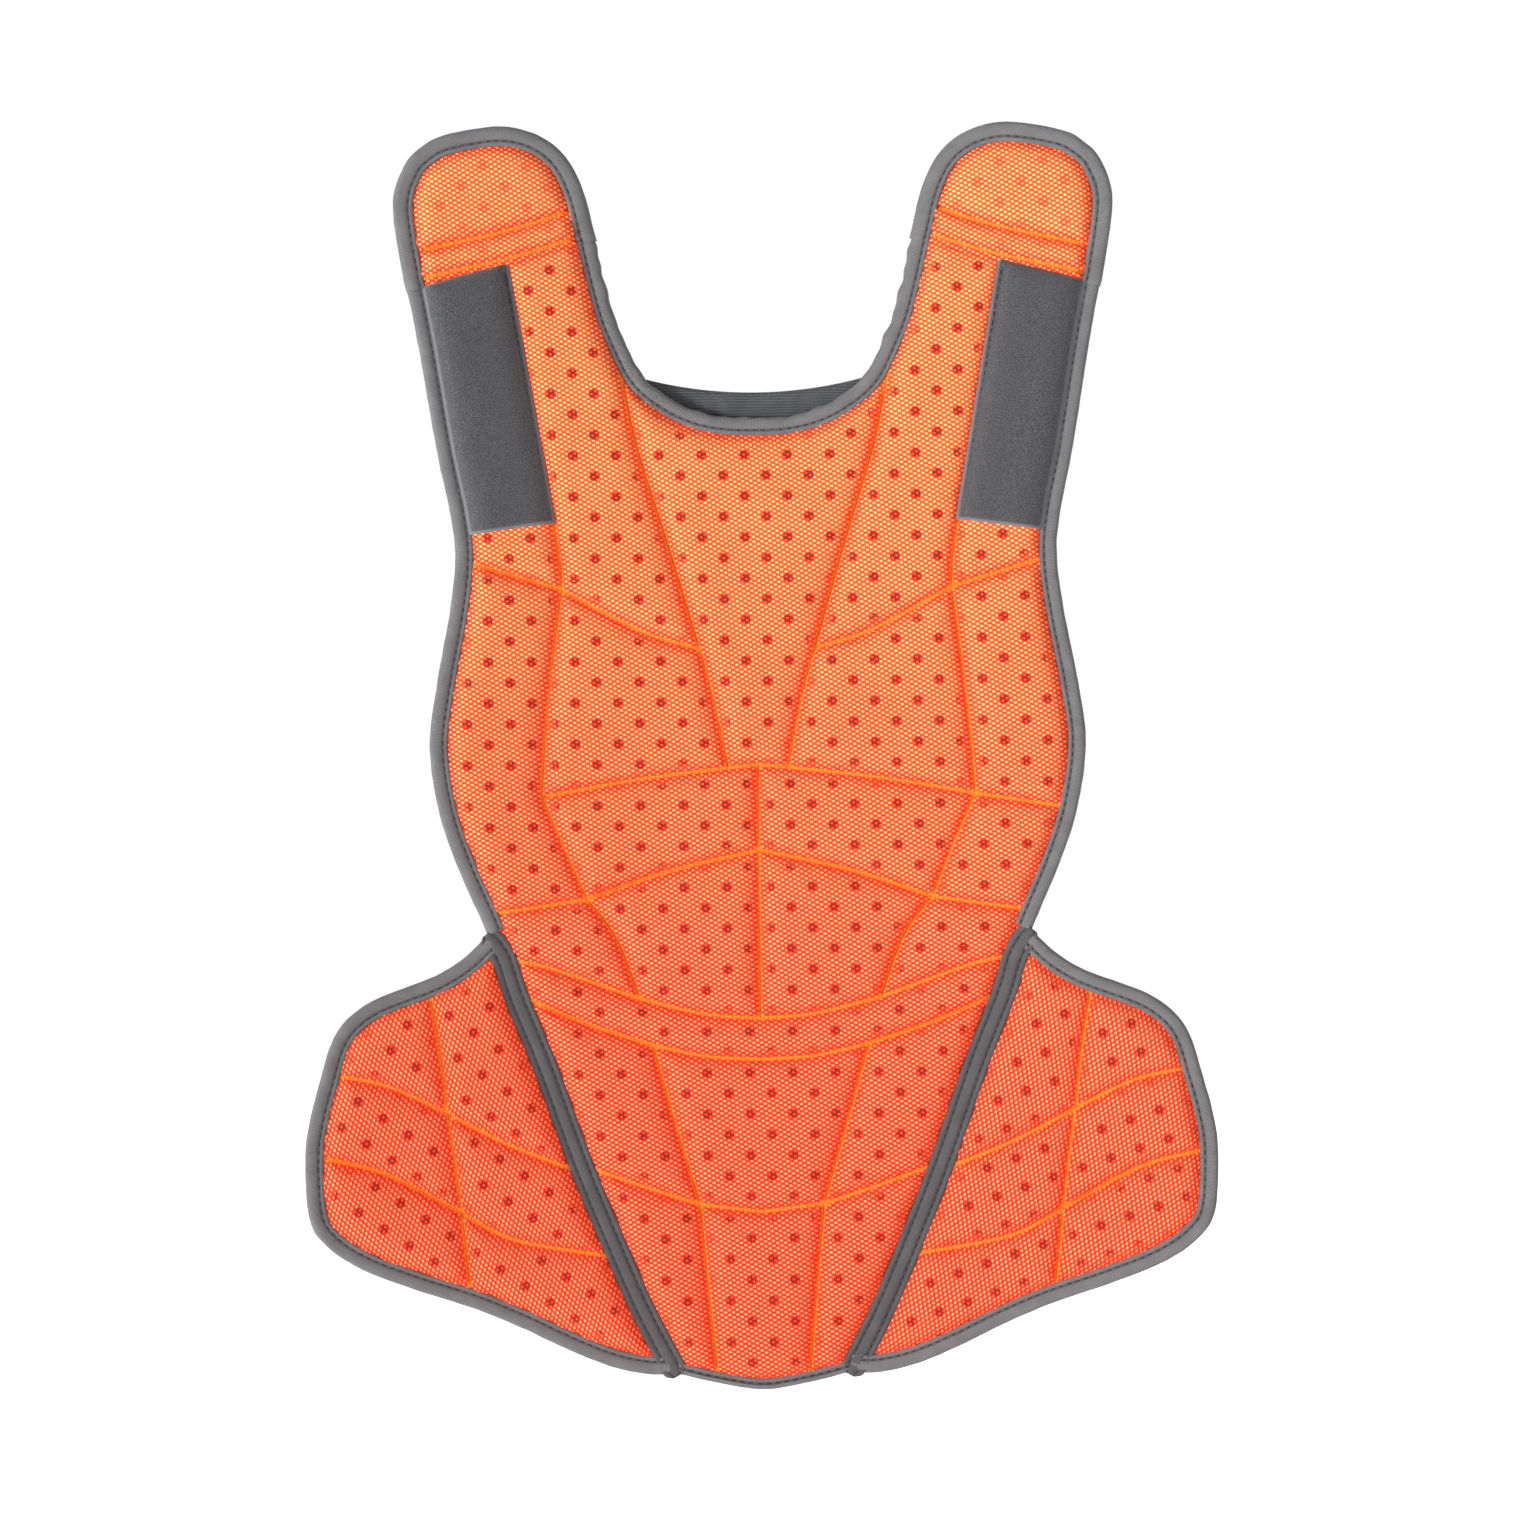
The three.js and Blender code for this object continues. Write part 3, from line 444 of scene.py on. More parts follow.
class Nodes:
    """A material, and short ways to add nodes to it.

    An input is a number, a colour or another node's socket.
    """

    def __init__(self, name):
        self.material = bpy.data.materials.new(name)
        self.material.use_nodes = True
        self.tree = self.material.node_tree
        self.shader = self.tree.nodes["Principled BSDF"]

    def node(self, kind, **settings):
        made = self.tree.nodes.new(kind)
        for key, value in settings.items():
            setattr(made, key, value)
        return made

    def feed(self, socket, value):
        if isinstance(value, bpy.types.NodeSocket):
            self.tree.links.new(value, socket)
        else:
            socket.default_value = value

    def add(self, kind, inputs, output=0, **settings):
        """A node's output, with its inputs given by number or name."""
        made = self.node(kind, **settings)
        for key, value in inputs.items():
            self.feed(made.inputs[key], value)
        return made.outputs[output]

    def math(self, operation, *inputs, clamp=False):
        return self.add("ShaderNodeMath", dict(enumerate(inputs)), operation=operation, use_clamp=clamp)

    def ramp(self, value, low, high):
        """0 below low, 1 above high, smooth between."""
        inputs = dict(enumerate((value, low, high, 0.0, 1.0)))
        return self.add("ShaderNodeMapRange", inputs, interpolation_type="SMOOTHSTEP")

    def mix(self, factor, first, second):
        return self.add("ShaderNodeMix", {0: factor, 6: first, 7: second}, 2, data_type="RGBA")

    def tint(self, colour, factor, strength, other):
        """The colour moved towards another one, as far as factor times strength."""
        return self.mix(self.math("MULTIPLY", factor, strength), colour, other)

    def attribute(self, name):
        """A vector attribute and its three parts."""
        vector = self.add("ShaderNodeAttribute", {}, "Vector", attribute_name=name)
        split = self.node("ShaderNodeSeparateXYZ")
        self.feed(split.inputs[0], vector)
        return vector, *split.outputs

    def noise(self, vector, scale, detail=2.0, roughness=0.5):
        inputs = {"Vector": vector, "Scale": scale, "Detail": detail, "Roughness": roughness}
        return self.add("ShaderNodeTexNoise", inputs, "Fac")

    def wave(self, u, v, fu, fv):
        """cos of 2 pi (fu u + fv v)."""
        phase = self.math("MULTIPLY_ADD", u, 2 * math.pi * fu, self.math("MULTIPLY", v, 2 * math.pi * fv))
        return self.math("COSINE", phase)

    def stripes(self, u, v, fu, fv):
        """The same wave from 0 to 1."""
        return self.math("MULTIPLY_ADD", self.wave(u, v, fu, fv), 0.5, 0.5)

    def bump(self, height, distance, strength=1.0):
        inputs = {"Height": height, "Distance": distance, "Strength": strength}
        return self.add("ShaderNodeBump", inputs, "Normal")

    def finish(self, colour, roughness, normal, sheen=0.0, sheen_tint=(1, 1, 1, 1), specular=0.3):
        self.feed(self.shader.inputs["Base Color"], colour)
        self.feed(self.shader.inputs["Roughness"], roughness)
        self.feed(self.shader.inputs["Normal"], normal)
        self.shader.inputs["Specular IOR Level"].default_value = specular
        self.shader.inputs["Sheen Weight"].default_value = sheen
        self.shader.inputs["Sheen Roughness"].default_value = 0.5
        self.shader.inputs["Sheen Tint"].default_value = sheen_tint
        return self.material


def rgb(red, green, blue):
    """A shader colour from 0 to 255 screen values."""
    shares = [c / 255 for c in (red, green, blue)]
    linear = [((c + 0.055) / 1.055) ** 2.4 if c > 0.04 else c / 12.92 for c in shares]
    return (*linear, 1)


def mesh_cloth():
    """Warp-knitted mesh: pale ovals over deep orange, perforated and redder low down; painted shade by seams
    and pinholes.
    """
    m = Nodes("orange_mesh")
    cloth, u, v, _ = m.attribute("grain")
    _, line, free, fade = m.attribute("quilt")
    _, height, _, _ = m.attribute("place")
    low = m.ramp(height, 110.0, -250.0)
    rising, falling, upright = [m.wave(u, v, *wave) for wave in KNIT_WAVES]
    knit = m.math("MULTIPLY_ADD", upright, 0.35, m.math("ADD", rising, falling))
    oval = m.ramp(knit, -0.65, 1.15)
    holes = m.math("MULTIPLY", m.wave(u, v, 1 / HOLE_PITCH[0], 0), m.wave(u, v, 0, 1 / HOLE_PITCH[1]))
    holes = m.math("MULTIPLY_ADD", m.noise(cloth, 0.9), 0.06, holes)
    hole = m.math("MULTIPLY", m.ramp(holes, 0.69, 0.79), fade)
    # painted shade: the openings between the knit's loops are painted near black-red, for the shadow seen
    # through them
    pinhole_shade = m.math("MULTIPLY", m.ramp(holes, 0.77, 0.87), m.ramp(knit, 1.2, 0.0))
    pinhole_shade = m.math("MULTIPLY", pinhole_shade, m.ramp(fade, 0.45, 0.8))
    seam = m.ramp(line, 1.15, 0.35)
    # painted shade: near the sewn lines and bands the cloth is tinted deeper red, for the shade on the pads'
    # slopes into each seam
    beside = m.ramp(m.math("MINIMUM", line, m.math("ADD", free, 1.0)), 5.2, 0.6)
    patchy = m.noise(cloth, 0.035, 3.0)
    ground = m.mix(patchy, rgb(230, 66, 4), rgb(238, 92, 16))
    ground = m.mix(low, ground, rgb(234, 40, 2))
    # painted shade beside the seams, on the ground here and on the ovals below
    ground = m.tint(ground, beside, 0.8, rgb(236, 26, 0))
    pale = m.mix(patchy, rgb(250, 186, 126), rgb(252, 204, 150))
    pale = m.mix(low, pale, rgb(250, 160, 116))
    pale = m.tint(pale, beside, 0.5, rgb(250, 104, 44))
    colour = m.mix(oval, ground, pale)
    colour = m.tint(colour, hole, 0.88, rgb(232, 38, 4))
    colour = m.tint(colour, pinhole_shade, 0.85, rgb(110, 4, 0))
    colour = m.tint(colour, seam, 0.85, rgb(255, 138, 26))
    relief = m.math("SUBTRACT", oval, m.math("MULTIPLY", hole, 0.5))
    fuzz = m.noise(cloth, 4.0, 4.0)
    relief = m.math("MULTIPLY_ADD", fuzz, 0.25, relief)
    roughness = m.math("MULTIPLY_ADD", oval, -0.14, 0.86)
    m.finish(colour, roughness, m.bump(relief, 0.0005, 1.0), 0.1, rgb(255, 170, 110))
    m.shader.inputs["Emission Color"].default_value = (1, 0.05, 0, 1)  # a painted red glow that lifts the shaded slopes; partly the dye's own fluorescence
    m.shader.inputs["Emission Strength"].default_value = 0.1
    return m.material


def tape_cloth(name, dark, light, rib_pitch=0.62):
    """Grosgrain tape: fine ribs across it, small wear marks, and painted shade in the furrow that its
    stitches pull.
    """
    m = Nodes(name)
    along_across, along, across, from_stitches = m.attribute("tape")
    rib = m.stripes(along, across, 1 / rib_pitch, 0.0)
    thread = m.stripes(along, across, 0.5 / rib_pitch, 1 / 0.55)
    worn = m.noise(along_across, 0.12, 4.0, 0.6)
    fine = m.noise(along_across, 2.2, 3.0)
    shade = m.math("MULTIPLY_ADD", rib, 0.5, m.math("MULTIPLY", worn, 0.5))
    shade = m.math("MULTIPLY_ADD", fine, 0.2, m.math("SUBTRACT", shade, 0.1), clamp=True)
    colour = m.mix(shade, dark, light)
    # painted shade: the tape is darkened along its row of stitches, where the cloth is pulled into a furrow
    groove_shade = m.ramp(from_stitches, 1.1, 0.2)
    colour = m.tint(colour, groove_shade, 0.5, rgb(40, 40, 42))
    height = m.math("MULTIPLY_ADD", thread, 0.3, rib)
    return m.finish(colour, 0.78, m.bump(height, 0.00018, 0.7), 0.15, (0.8, 0.8, 0.85, 1))


def woven_cloth(name, dark, light, pitch=0.9):
    """Plain-woven nylon with a soft, uneven shade."""
    m = Nodes(name)
    cloth, u, v, _ = m.attribute("grain")
    warp, weft = m.wave(u, v, 1 / pitch, 0.0), m.wave(u, v, 0.0, 1 / pitch)
    weave = m.math("MULTIPLY_ADD", m.math("MULTIPLY", warp, weft), 0.5, 0.5)
    slub = m.math("MULTIPLY", m.noise(cloth, 1.2, 3.0), 0.2)
    uneven = m.math("MULTIPLY_ADD", m.noise(cloth, 0.05, 4.0, 0.6), 0.6, slub)
    shade = m.math("MULTIPLY_ADD", weave, 0.35, uneven)
    colour = m.mix(m.math("SUBTRACT", shade, 0.1, clamp=True), dark, light)
    roughness = m.math("MULTIPLY_ADD", weave, -0.12, 0.8)
    return m.finish(colour, roughness, m.bump(weave, 0.0002, 0.8), 0.2, (0.7, 0.7, 0.75, 1))


def loop_pile():
    """Napped loop tape: short matted loops, with pale specks."""
    m = Nodes("loop_pile")
    cloth, _, _, edge = m.attribute("grain")
    loops = m.noise(cloth, 1.5, 4.0, 0.75)
    tufts = m.noise(cloth, 0.28, 3.0)
    specks = m.ramp(m.noise(cloth, 3.2, 2.0), 0.58, 0.74)
    colour = m.mix(m.ramp(loops, 0.38, 0.66), rgb(40, 41, 43), rgb(104, 104, 106))
    colour = m.tint(colour, tufts, 0.35, rgb(70, 71, 74))
    colour = m.tint(colour, specks, 0.5, rgb(150, 151, 154))
    colour = m.mix(m.ramp(edge, 1.6, 0.6), colour, rgb(112, 112, 116))
    height = m.math("ADD", loops, m.math("MULTIPLY", specks, 0.3))
    return m.finish(colour, 0.95, m.bump(height, 0.0006, 1.0), 0.5, (0.6, 0.6, 0.62, 1), 0.1)


def ribbed_cloth():
    """Ribbed knit of the throat collar, with painted shade in the hollows between its ribs."""
    m = Nodes("collar_rib")
    stitch_width = 0.9
    cloth, u, v, _ = m.attribute("grain")
    rib = m.stripes(u, v, 0.0, 1 / RIB_PITCH)
    stitch = m.stripes(u, v, 1 / stitch_width, 0.5 / RIB_PITCH)
    uneven = m.math("MULTIPLY", m.noise(cloth, 0.09, 3.0), 0.4)
    # painted shade: the colour follows the ribs, darker in the hollows between them
    shade = m.math("MULTIPLY_ADD", rib, 0.5, m.math("MULTIPLY_ADD", stitch, 0.2, uneven))
    colour = m.mix(m.math("SUBTRACT", shade, 0.1, clamp=True), rgb(50, 51, 52), rgb(98, 99, 101))
    height = m.math("MULTIPLY_ADD", stitch, 0.3, rib)
    return m.finish(colour, 0.88, m.bump(height, 0.0003, 0.8), 0.2, (0.7, 0.7, 0.7, 1))


def foam_sheet():
    """Closed-cell foam with a faint cell pattern."""
    m = Nodes("foam_sheet")
    cells = m.noise(m.node("ShaderNodeTexCoord").outputs["Object"], 900.0, 3.0)
    colour = m.mix(cells, rgb(206, 200, 186), rgb(232, 228, 216))
    return m.finish(colour, 0.95, m.bump(cells, 0.0003, 0.6))


def thread(name, dark, light):
    """Twisted sewing thread."""
    m = Nodes(name)
    strands = m.noise(m.node("ShaderNodeTexCoord").outputs["Object"], 2600.0, 2.0)
    colour = m.mix(m.ramp(strands, 0.3, 0.7), dark, light)
    return m.finish(colour, 0.6, m.bump(strands, 0.0001, 0.8), 0.1)


ORANGE = mesh_cloth()
SHELL = woven_cloth("outer_cloth", rgb(40, 41, 44), rgb(70, 72, 76))
TAPE = tape_cloth("grey_tape", rgb(66, 66, 68), rgb(132, 132, 133))
HINGE_TAPE = tape_cloth("dark_tape", rgb(48, 49, 51), rgb(104, 104, 106), 0.5)
PILE = loop_pile()
COLLAR = ribbed_cloth()
FOAM = foam_sheet()
ORANGE_THREAD = thread("orange_thread", rgb(232, 74, 8), rgb(255, 132, 34))
DARK_THREAD = thread("dark_thread", rgb(22, 22, 24), rgb(52, 52, 55))

# ---- Panels ----
neck = curve(list(mirror(NECK)) + NECK[1:])
fold = curve(FOLD)
side_edge = curve(ARMHOLE + FLANK)
hinge = curve(HINGE + HINGE_END)
hem = curve(HEM + list(mirror(HEM))[1:])
right_edges = [(fold, FOLD_BAND), (side_edge, BOUND_BAND), (hinge, HINGE_BAND)]
left_edges = [(mirror(line), band) for line, band in reversed(right_edges)]
body_edges = [(neck, BOUND_BAND), *right_edges, (hem, HEM_BAND), *left_edges]

BOTH_SIDES = [BREASTBONE, STERNUM, COLLARBONE, ARMHOLE_LINE, PATCH_LINE, BREAST, BREAST_MIDDLE, BREAST_CENTRE]
BOTH_SIDES += [RIB, MIDRIFF, FLANK_LINE, LOW_RIB, WAIST_SEAM, WAIST_CENTRE, BAND_INNER, BAND_OUTER]
BOTH_SIDES += [BELLY_RIB, TAIL_RIB, TAIL_INNER, TAIL_OUTER]
body_lines = [curve(line) for line in BOTH_SIDES]
body_lines += [mirror(line) for line in body_lines]
body_lines += [curve(SIDE_LINE), curve(CENTRE_LINE)]
body = Quilt("body", body_edges, body_lines)


def sided_quilt(name, edges, lines, side, grain=0):
    """A quilted panel given by its right-hand outline and lines, on either side."""
    own_edges = [(sided(line, side), band) for line, band in edges][::side]
    return Quilt(f"{SIDES[side]}_{name}", own_edges, [sided(line, side) for line in lines], grain)


wing_round = curve(WING_TOP + WING_SIDE + WING_LOW + WING_END)
wing_edges = [(wing_round, BOUND_BAND), (hinge[::-1], HINGE_BAND)]
WING_LINES = [WING_UPRIGHT, WING_UPPER_OUTER, WING_UPPER_INNER, WING_LOWER_OUTER, WING_LOWER_INNER]
wing_lines = [curve(line) for line in WING_LINES]
wings = {side: sided_quilt("wing", wing_edges, wing_lines, side, WING_GRAIN[side]) for side in SIDES}

TIP_OVERLAP = 4.2  # the tip's cloth reaches this far below the fold, less the cloth inset
FLAP = 12.0  # unpadded cloth above the fold
EDGE_STEP = 1.4
fold_along = (fold[-1] - fold[0]) / np.linalg.norm(fold[-1] - fold[0])
fold_up = np.array([-fold_along[1], fold_along[0]])
low_edge = fold - fold_up * TIP_OVERLAP
tip_round = curve(TIP_INNER + TIP_OUTER)
tip_round = joined(resample(np.array([low_edge[0], fold[0]]), EDGE_STEP), tip_round)
tip_round = joined(tip_round, resample(np.array([fold[-1], low_edge[-1]]), EDGE_STEP))
tip_edges = [(tip_round, BOUND_BAND), (low_edge[::-1], FOLD_BAND)]
tip_lines = [fold[4:-4], (fold + fold_up * FLAP)[4:-5]]  # both stop under the tapes
tips = {side: sided_quilt("tip", tip_edges, tip_lines, side) for side in SIDES}


def above_fold(flat):
    """Height above the shoulder fold, on either side."""
    right = np.column_stack([np.abs(flat[:, 0]), flat[:, 1]])
    return (right - fold[0]) @ fold_up


TIP_LIFT = 2.1
to_strap_edge = Nearest(np.vstack([tip_round, neck, side_edge]))


def tip_lift(flat):
    """How far a tip's cloth stands off to lie over the strap's end. It does not under the tapes."""
    distance, _ = to_strap_edge(np.column_stack([np.abs(flat[:, 0]), flat[:, 1]]))
    return TIP_LIFT * smooth(above_fold(flat), 6, 0.5) * smooth(distance, TAPE_WIDTH - 1, TAPE_WIDTH + 2.5)


def no_lift(flat):
    return np.zeros(len(flat))


# ---- Where pieces ride: baked in place, or attached to a body ----
WAIST_Z = -0.146
WAIST_REACH = 0.015


def bend_at_waist(piece):
    """Bakes the piece's transform into its points, for pieces that cross the waist; they are not bent."""
    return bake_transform(piece)


def bend_across(piece):
    """Bakes the piece's transform into its points; the piece is not bent."""
    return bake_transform(piece)


def bend_at_wing(piece):
    """A tape over a wing's hinge, baked by bend_across; it is not bent."""
    return bend_across(piece)


def bend_at_fold(piece):
    """A shoulder tip's piece, baked by bend_across; it is not bent over the fold."""
    return bend_across(piece)


def ride_body_pad(piece, node):
    """A chest or belly pad: baked in place where it crosses the waist, attached to the chest or belly
    elsewhere.
    """
    low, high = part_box(node)
    if low.z < WAIST_Z + WAIST_REACH and high.z > WAIST_Z - WAIST_REACH:
        bend_at_waist(piece)
    else:
        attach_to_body(piece, "chest" if low.z > WAIST_Z else "belly")


TIP_HOLES = 0.45  # the tips' perforations are fainter


def lining_piece(quilt, flat, triangles, lift):
    """The mesh lining, dimpled at its perforations."""
    room, line, free, _ = quilt.room(flat)
    cloth = quilt.grain_at(flat)
    fade = smooth(room, 0.5, 5)
    depth = quilt.lining(flat) - lift + HOLE_DEPTH * hole_mask(cloth) * fade
    points, faces = closed_layer(place(flat, depth), place(flat, depth + LINING_THICKNESS), triangles)
    grain = np.column_stack([cloth, np.zeros(len(cloth))])
    strength = TIP_HOLES if "tip" in quilt.name else 1.0
    colour_fade = (0.35 + 0.65 * smooth(room, 1.0, 7.0)) * strength
    marks = np.column_stack([line, free, colour_fade])
    height = np.column_stack([flat[:, 1], flat[:, 0], np.zeros(len(flat))])
    layers = {"grain": grain, "quilt": marks, "place": height}
    attributes = [(word, np.vstack([values, values])) for word, values in layers.items()]
    piece = make_object(f"{quilt.name}_lining_cloth", points, faces, ORANGE, attributes)
    return piece


def shell_piece(quilt, flat, triangles, pad, lift):
    """The dark outer cloth, quilted on the same lines."""
    depth = quilt.shell_back(flat, pad) + lift
    points, faces = closed_layer(place(flat, depth - SHELL_THICKNESS), place(flat, depth), triangles)
    cloth = quilt.grain_at(flat)
    grain = np.column_stack([cloth, np.zeros(len(cloth))])
    attributes = [("grain", np.vstack([grain, grain]))]
    piece = make_object(f"{quilt.name}_outer_cloth", points, faces, SHELL, attributes)
    return piece


def pad_groups(quilt, flat, triangles):
    """The triangles inside each sewn pocket, as separate groups."""
    deep = quilt.room(flat)[0] > PAD_INSET - 0.4
    chosen = triangles[deep[triangles].all(1)]
    label = np.arange(len(flat))
    changed = True
    while changed:
        lowest = label[chosen].min(1)
        before = label.copy()
        for k in range(3):
            np.minimum.at(label, chosen[:, k], lowest)
        label = label[label]
        changed = (label != before).any()
    return [chosen[label[chosen[:, 0]] == g] for g in np.unique(label[chosen[:, 0]])]


def centre_of(node):
    """The flat middle of a CAD node."""
    low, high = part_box(node)
    return np.array([(low.x + high.x) / 2, (low.z + high.z) / 2]) / MM


def own_pads(quilt):
    """The CAD pads that belong to a panel."""
    pads = [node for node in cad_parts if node.endswith("_pad")]
    if quilt.name == "body":
        return [node for node in pads if "wing" not in node and "tip" not in node]
    return [node for node in pads if node.startswith(quilt.name)]


PAD_GAP = 0.35  # between a pad and the cloth on either side


def pad_pieces(quilt, flat, triangles, pad, attach_pad):
    """A crowned foam pad in the pocket at each CAD pad, which it stands for."""
    groups = [g for g in pad_groups(quilt, flat, triangles) if len(g) > 20]
    middles = [(flat[g].min((0, 1)) + flat[g].max((0, 1))) / 2 for g in groups]
    made = []
    for node in own_pads(quilt):
        distance = [np.linalg.norm(centre_of(node) - m) for m in middles]
        used, faces = without_spares(flat, groups[int(np.argmin(distance))])
        own = flat[used]
        front = quilt.lining(own) + LINING_THICKNESS + PAD_GAP
        back = quilt.shell_back(own, pad) - SHELL_THICKNESS - PAD_GAP
        points, solid = closed_layer(place(own, front), place(own, back), faces)
        piece = make_object(f"{node}_foam", points, solid, FOAM)
        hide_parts(node)
        attach_pad(piece, node)
        made.append(piece)
    return made


# ---- Stitches ----
# One stitch's rings as (share of its length, share of its radius, how far it sinks in).
STITCH_RINGS = [(0.0, 0.35, 0.35), (0.22, 1.0, 0.0), (0.78, 1.0, 0.0), (1.0, 0.35, 0.35)]
STITCH_SIDES = 5
STITCH_STEP = 0.25  # between the samples of a stitched line
STITCH_PITCH = 3.7


def stitch_row(line, depth, outward, length=2.7, pitch=STITCH_PITCH, radius=0.3):
    """Short thread capsules along a flat line at a depth. outward is the sign of t that faces out."""
    line = resample(np.asarray(line, float), STITCH_STEP)
    count = int(len(line) * STITCH_STEP / pitch)
    step = len(line) / max(count, 1)
    points, faces = [], []
    for n in range(count):
        first = int((n + 0.14) * step)
        last = min(len(line) - 1, first + int(length / STITCH_STEP))
        ends = np.array([line[first], line[last]])
        along = place(ends, np.zeros(2))
        tangent = (along[1] - along[0]) / np.linalg.norm(along[1] - along[0])
        up = np.array([0, outward, 0.0])
        across = np.cross(tangent, up)
        base = len(points)
        for share, size, sink in STITCH_RINGS:
            flat = ends[:1] + (ends[1:] - ends[:1]) * share
            centre = place(flat, np.array([depth - outward * sink]))[0]
            for k in range(STITCH_SIDES):
                angle = 2 * math.pi * k / STITCH_SIDES
                spread = across * math.cos(angle) + up * math.sin(angle) * 0.8
                points.append(centre + spread * radius * size * MM)
        for ring in range(len(STITCH_RINGS) - 1):
            for k in range(STITCH_SIDES):
                a = base + ring * STITCH_SIDES + k
                b = base + ring * STITCH_SIDES + (k + 1) % STITCH_SIDES
                faces.append((a, b, b + STITCH_SIDES, a + STITCH_SIDES))
        faces.append(tuple(base + k for k in reversed(range(STITCH_SIDES))))
        last_ring = base + (len(STITCH_RINGS) - 1) * STITCH_SIDES
        faces.append(tuple(last_ring + k for k in range(STITCH_SIDES)))
    return points, faces


def stitch_piece(name, rows, material):
    """One piece from several rows of stitches."""
    points, faces = [], []
    for row_points, row_faces in rows:
        faces += [tuple(i + len(points) for i in f) for f in row_faces]
        points += row_points
    piece = make_object(name, points, faces, material)
    return piece


# ---- Binding tapes ----
TAPE_MIDDLE = 4.0  # depth of the fold's nose
TAPE_FRONT = 1.1  # depth of the stitches on the lining's side
TAPE_BACK = 2 * TAPE_MIDDLE - TAPE_FRONT
STITCH_INSET = 2.25  # from the tape's inner edge to its stitches


def tape_profile(width, proud):
    """The tape's cross-section as (distance from the outline, depth), once round from its front edge."""
    leg = [(width, 1.7), (width, 1.25), (width - 0.5, 0.92), (width - 1.5, 0.9), (width - 2.25, 1.25)]
    leg += [(width - 3.0, 0.85), (width * 0.45, 0.62), (1.7, 0.85), (0.7, 1.55), (0.15, 2.7)]
    front = [(w - proud * (w < 1), t - proud) for w, t in leg]
    back = [(w, 2 * TAPE_MIDDLE - t) for w, t in reversed(front)]
    inner = [(width - 0.25, 2 * TAPE_MIDDLE - 1.85 + proud), (1.2, 6.2 + proud), (0.7, TAPE_MIDDLE)]
    inner += [(1.2, 1.8 - proud), (width - 0.25, 1.85 - proud)]
    return np.array([*front, (-proud, TAPE_MIDDLE), *back, *inner])


def loft(name, rings, material, attributes):
    """A closed tube through equal rings of points, with its two ends capped."""
    count = len(rings[0])
    faces = []
    for i in range(len(rings) - 1):
        for k in range(count):
            a, b = i * count + k, i * count + (k + 1) % count
            faces.append((a, a + count, b + count, b))
    faces.append(tuple(range(count)))
    faces.append(tuple(reversed(range((len(rings) - 1) * count, len(rings) * count))))
    return make_object(name, np.vstack(rings), faces, material, attributes)


def tape_piece(name, line, width, proud, waves, seed):
    """A binding folded round an outline, a little uneven where it was stitched down."""
    line = resample(line, TAPE_STEP)
    profile = tape_profile(width, proud)
    inward = inwards(directions(line))
    along = np.arange(len(line)) * TAPE_STEP
    from_stitches = np.abs(profile[:, 0] - (width - STITCH_INSET))
    edge_wave = waves * np.array([noise.noise((s / 6.5, seed, 0)) for s in along])
    swell = np.array([noise.noise((s / 8.0, seed, 7)) for s in along]) * 0.22
    pinch = 0.12 * np.cos(2 * np.pi * along / STITCH_PITCH)
    rings, marks = [], []
    across = np.r_[0, np.cumsum(np.linalg.norm(np.diff(profile, axis=0), axis=1))]
    for i, point in enumerate(line):
        w = profile[:, 0] + edge_wave[i] * (profile[:, 0] < 3)
        puff = np.clip(profile[:, 0] / 3, 0, 1) * np.clip((width - profile[:, 0]) / 2, 0, 1)
        outside = np.sign(profile[:, 1] - TAPE_MIDDLE)
        t = profile[:, 1] + outside * puff * (swell[i] + pinch[i])
        rings.append(place(point + inward[i] * w[:, None], t))
        marks.append(np.column_stack([np.full(len(w), along[i]), across, from_stitches]))
    piece = loft(name, rings, TAPE, [("tape", np.vstack(marks))])
    return piece


def tape_stitches(name, line, width, proud):
    """Running stitches through both legs of a binding."""
    row = line + inwards(directions(line)) * (width - STITCH_INSET)
    front = stitch_row(row, TAPE_FRONT - proud, -1)
    back = stitch_row(row, TAPE_BACK + proud, 1)
    return stitch_piece(name, [front, back], DARK_THREAD)


STRIP_STITCHES = 2.6  # from the strip's middle
STRIP_BASE = 1.9
HALF_STRIP = [(5.5, 1.55), (5.3, 1.05), (4.4, 0.85), (3.3, 0.92), (STRIP_STITCHES, 1.3)]
HALF_STRIP += [(1.9, 0.85), (0.7, 0.5), (0, 0.58)]
STRIP_END = 4.5  # length of its round end


def strip_piece(name, line, flip):
    """Round-ended flat tape over a wing's hinge, on the lining's side, or on the shell's if flip."""
    line = resample(line, TAPE_STEP)
    top = HALF_STRIP + [(-u, t) for u, t in reversed(HALF_STRIP[:-1])]
    profile = np.array(top + [(u, STRIP_BASE) for u in (-5.3, 0, 5.3)])
    inward = inwards(directions(line))
    along = np.arange(len(line)) * TAPE_STEP
    rings, marks = [], []
    for i, point in enumerate(line):
        from_end = min(along[i], along[-1] - along[i])
        narrow = math.sqrt(1 - (1 - min(1, (from_end + 0.4) / STRIP_END)) ** 2)
        on_top = profile[:, 1] < STRIP_BASE - 0.1
        t = profile[:, 1] + 0.12 * noise.noise((along[i] / 7, 3, 0)) * on_top
        if flip:
            t = 2 * TAPE_MIDDLE - t
        ring = place(point - inward[i] * (profile[:, 0] * narrow)[:, None], t)
        from_stitches = np.abs(np.abs(profile[:, 0]) - STRIP_STITCHES)
        mark = np.column_stack([np.full(len(t), along[i]), profile[:, 0], from_stitches])
        rings.append(ring[::-1] if flip else ring)
        marks.append(mark[::-1] if flip else mark)
    piece = loft(name, rings, HINGE_TAPE, [("tape", np.vstack(marks))])
    return piece


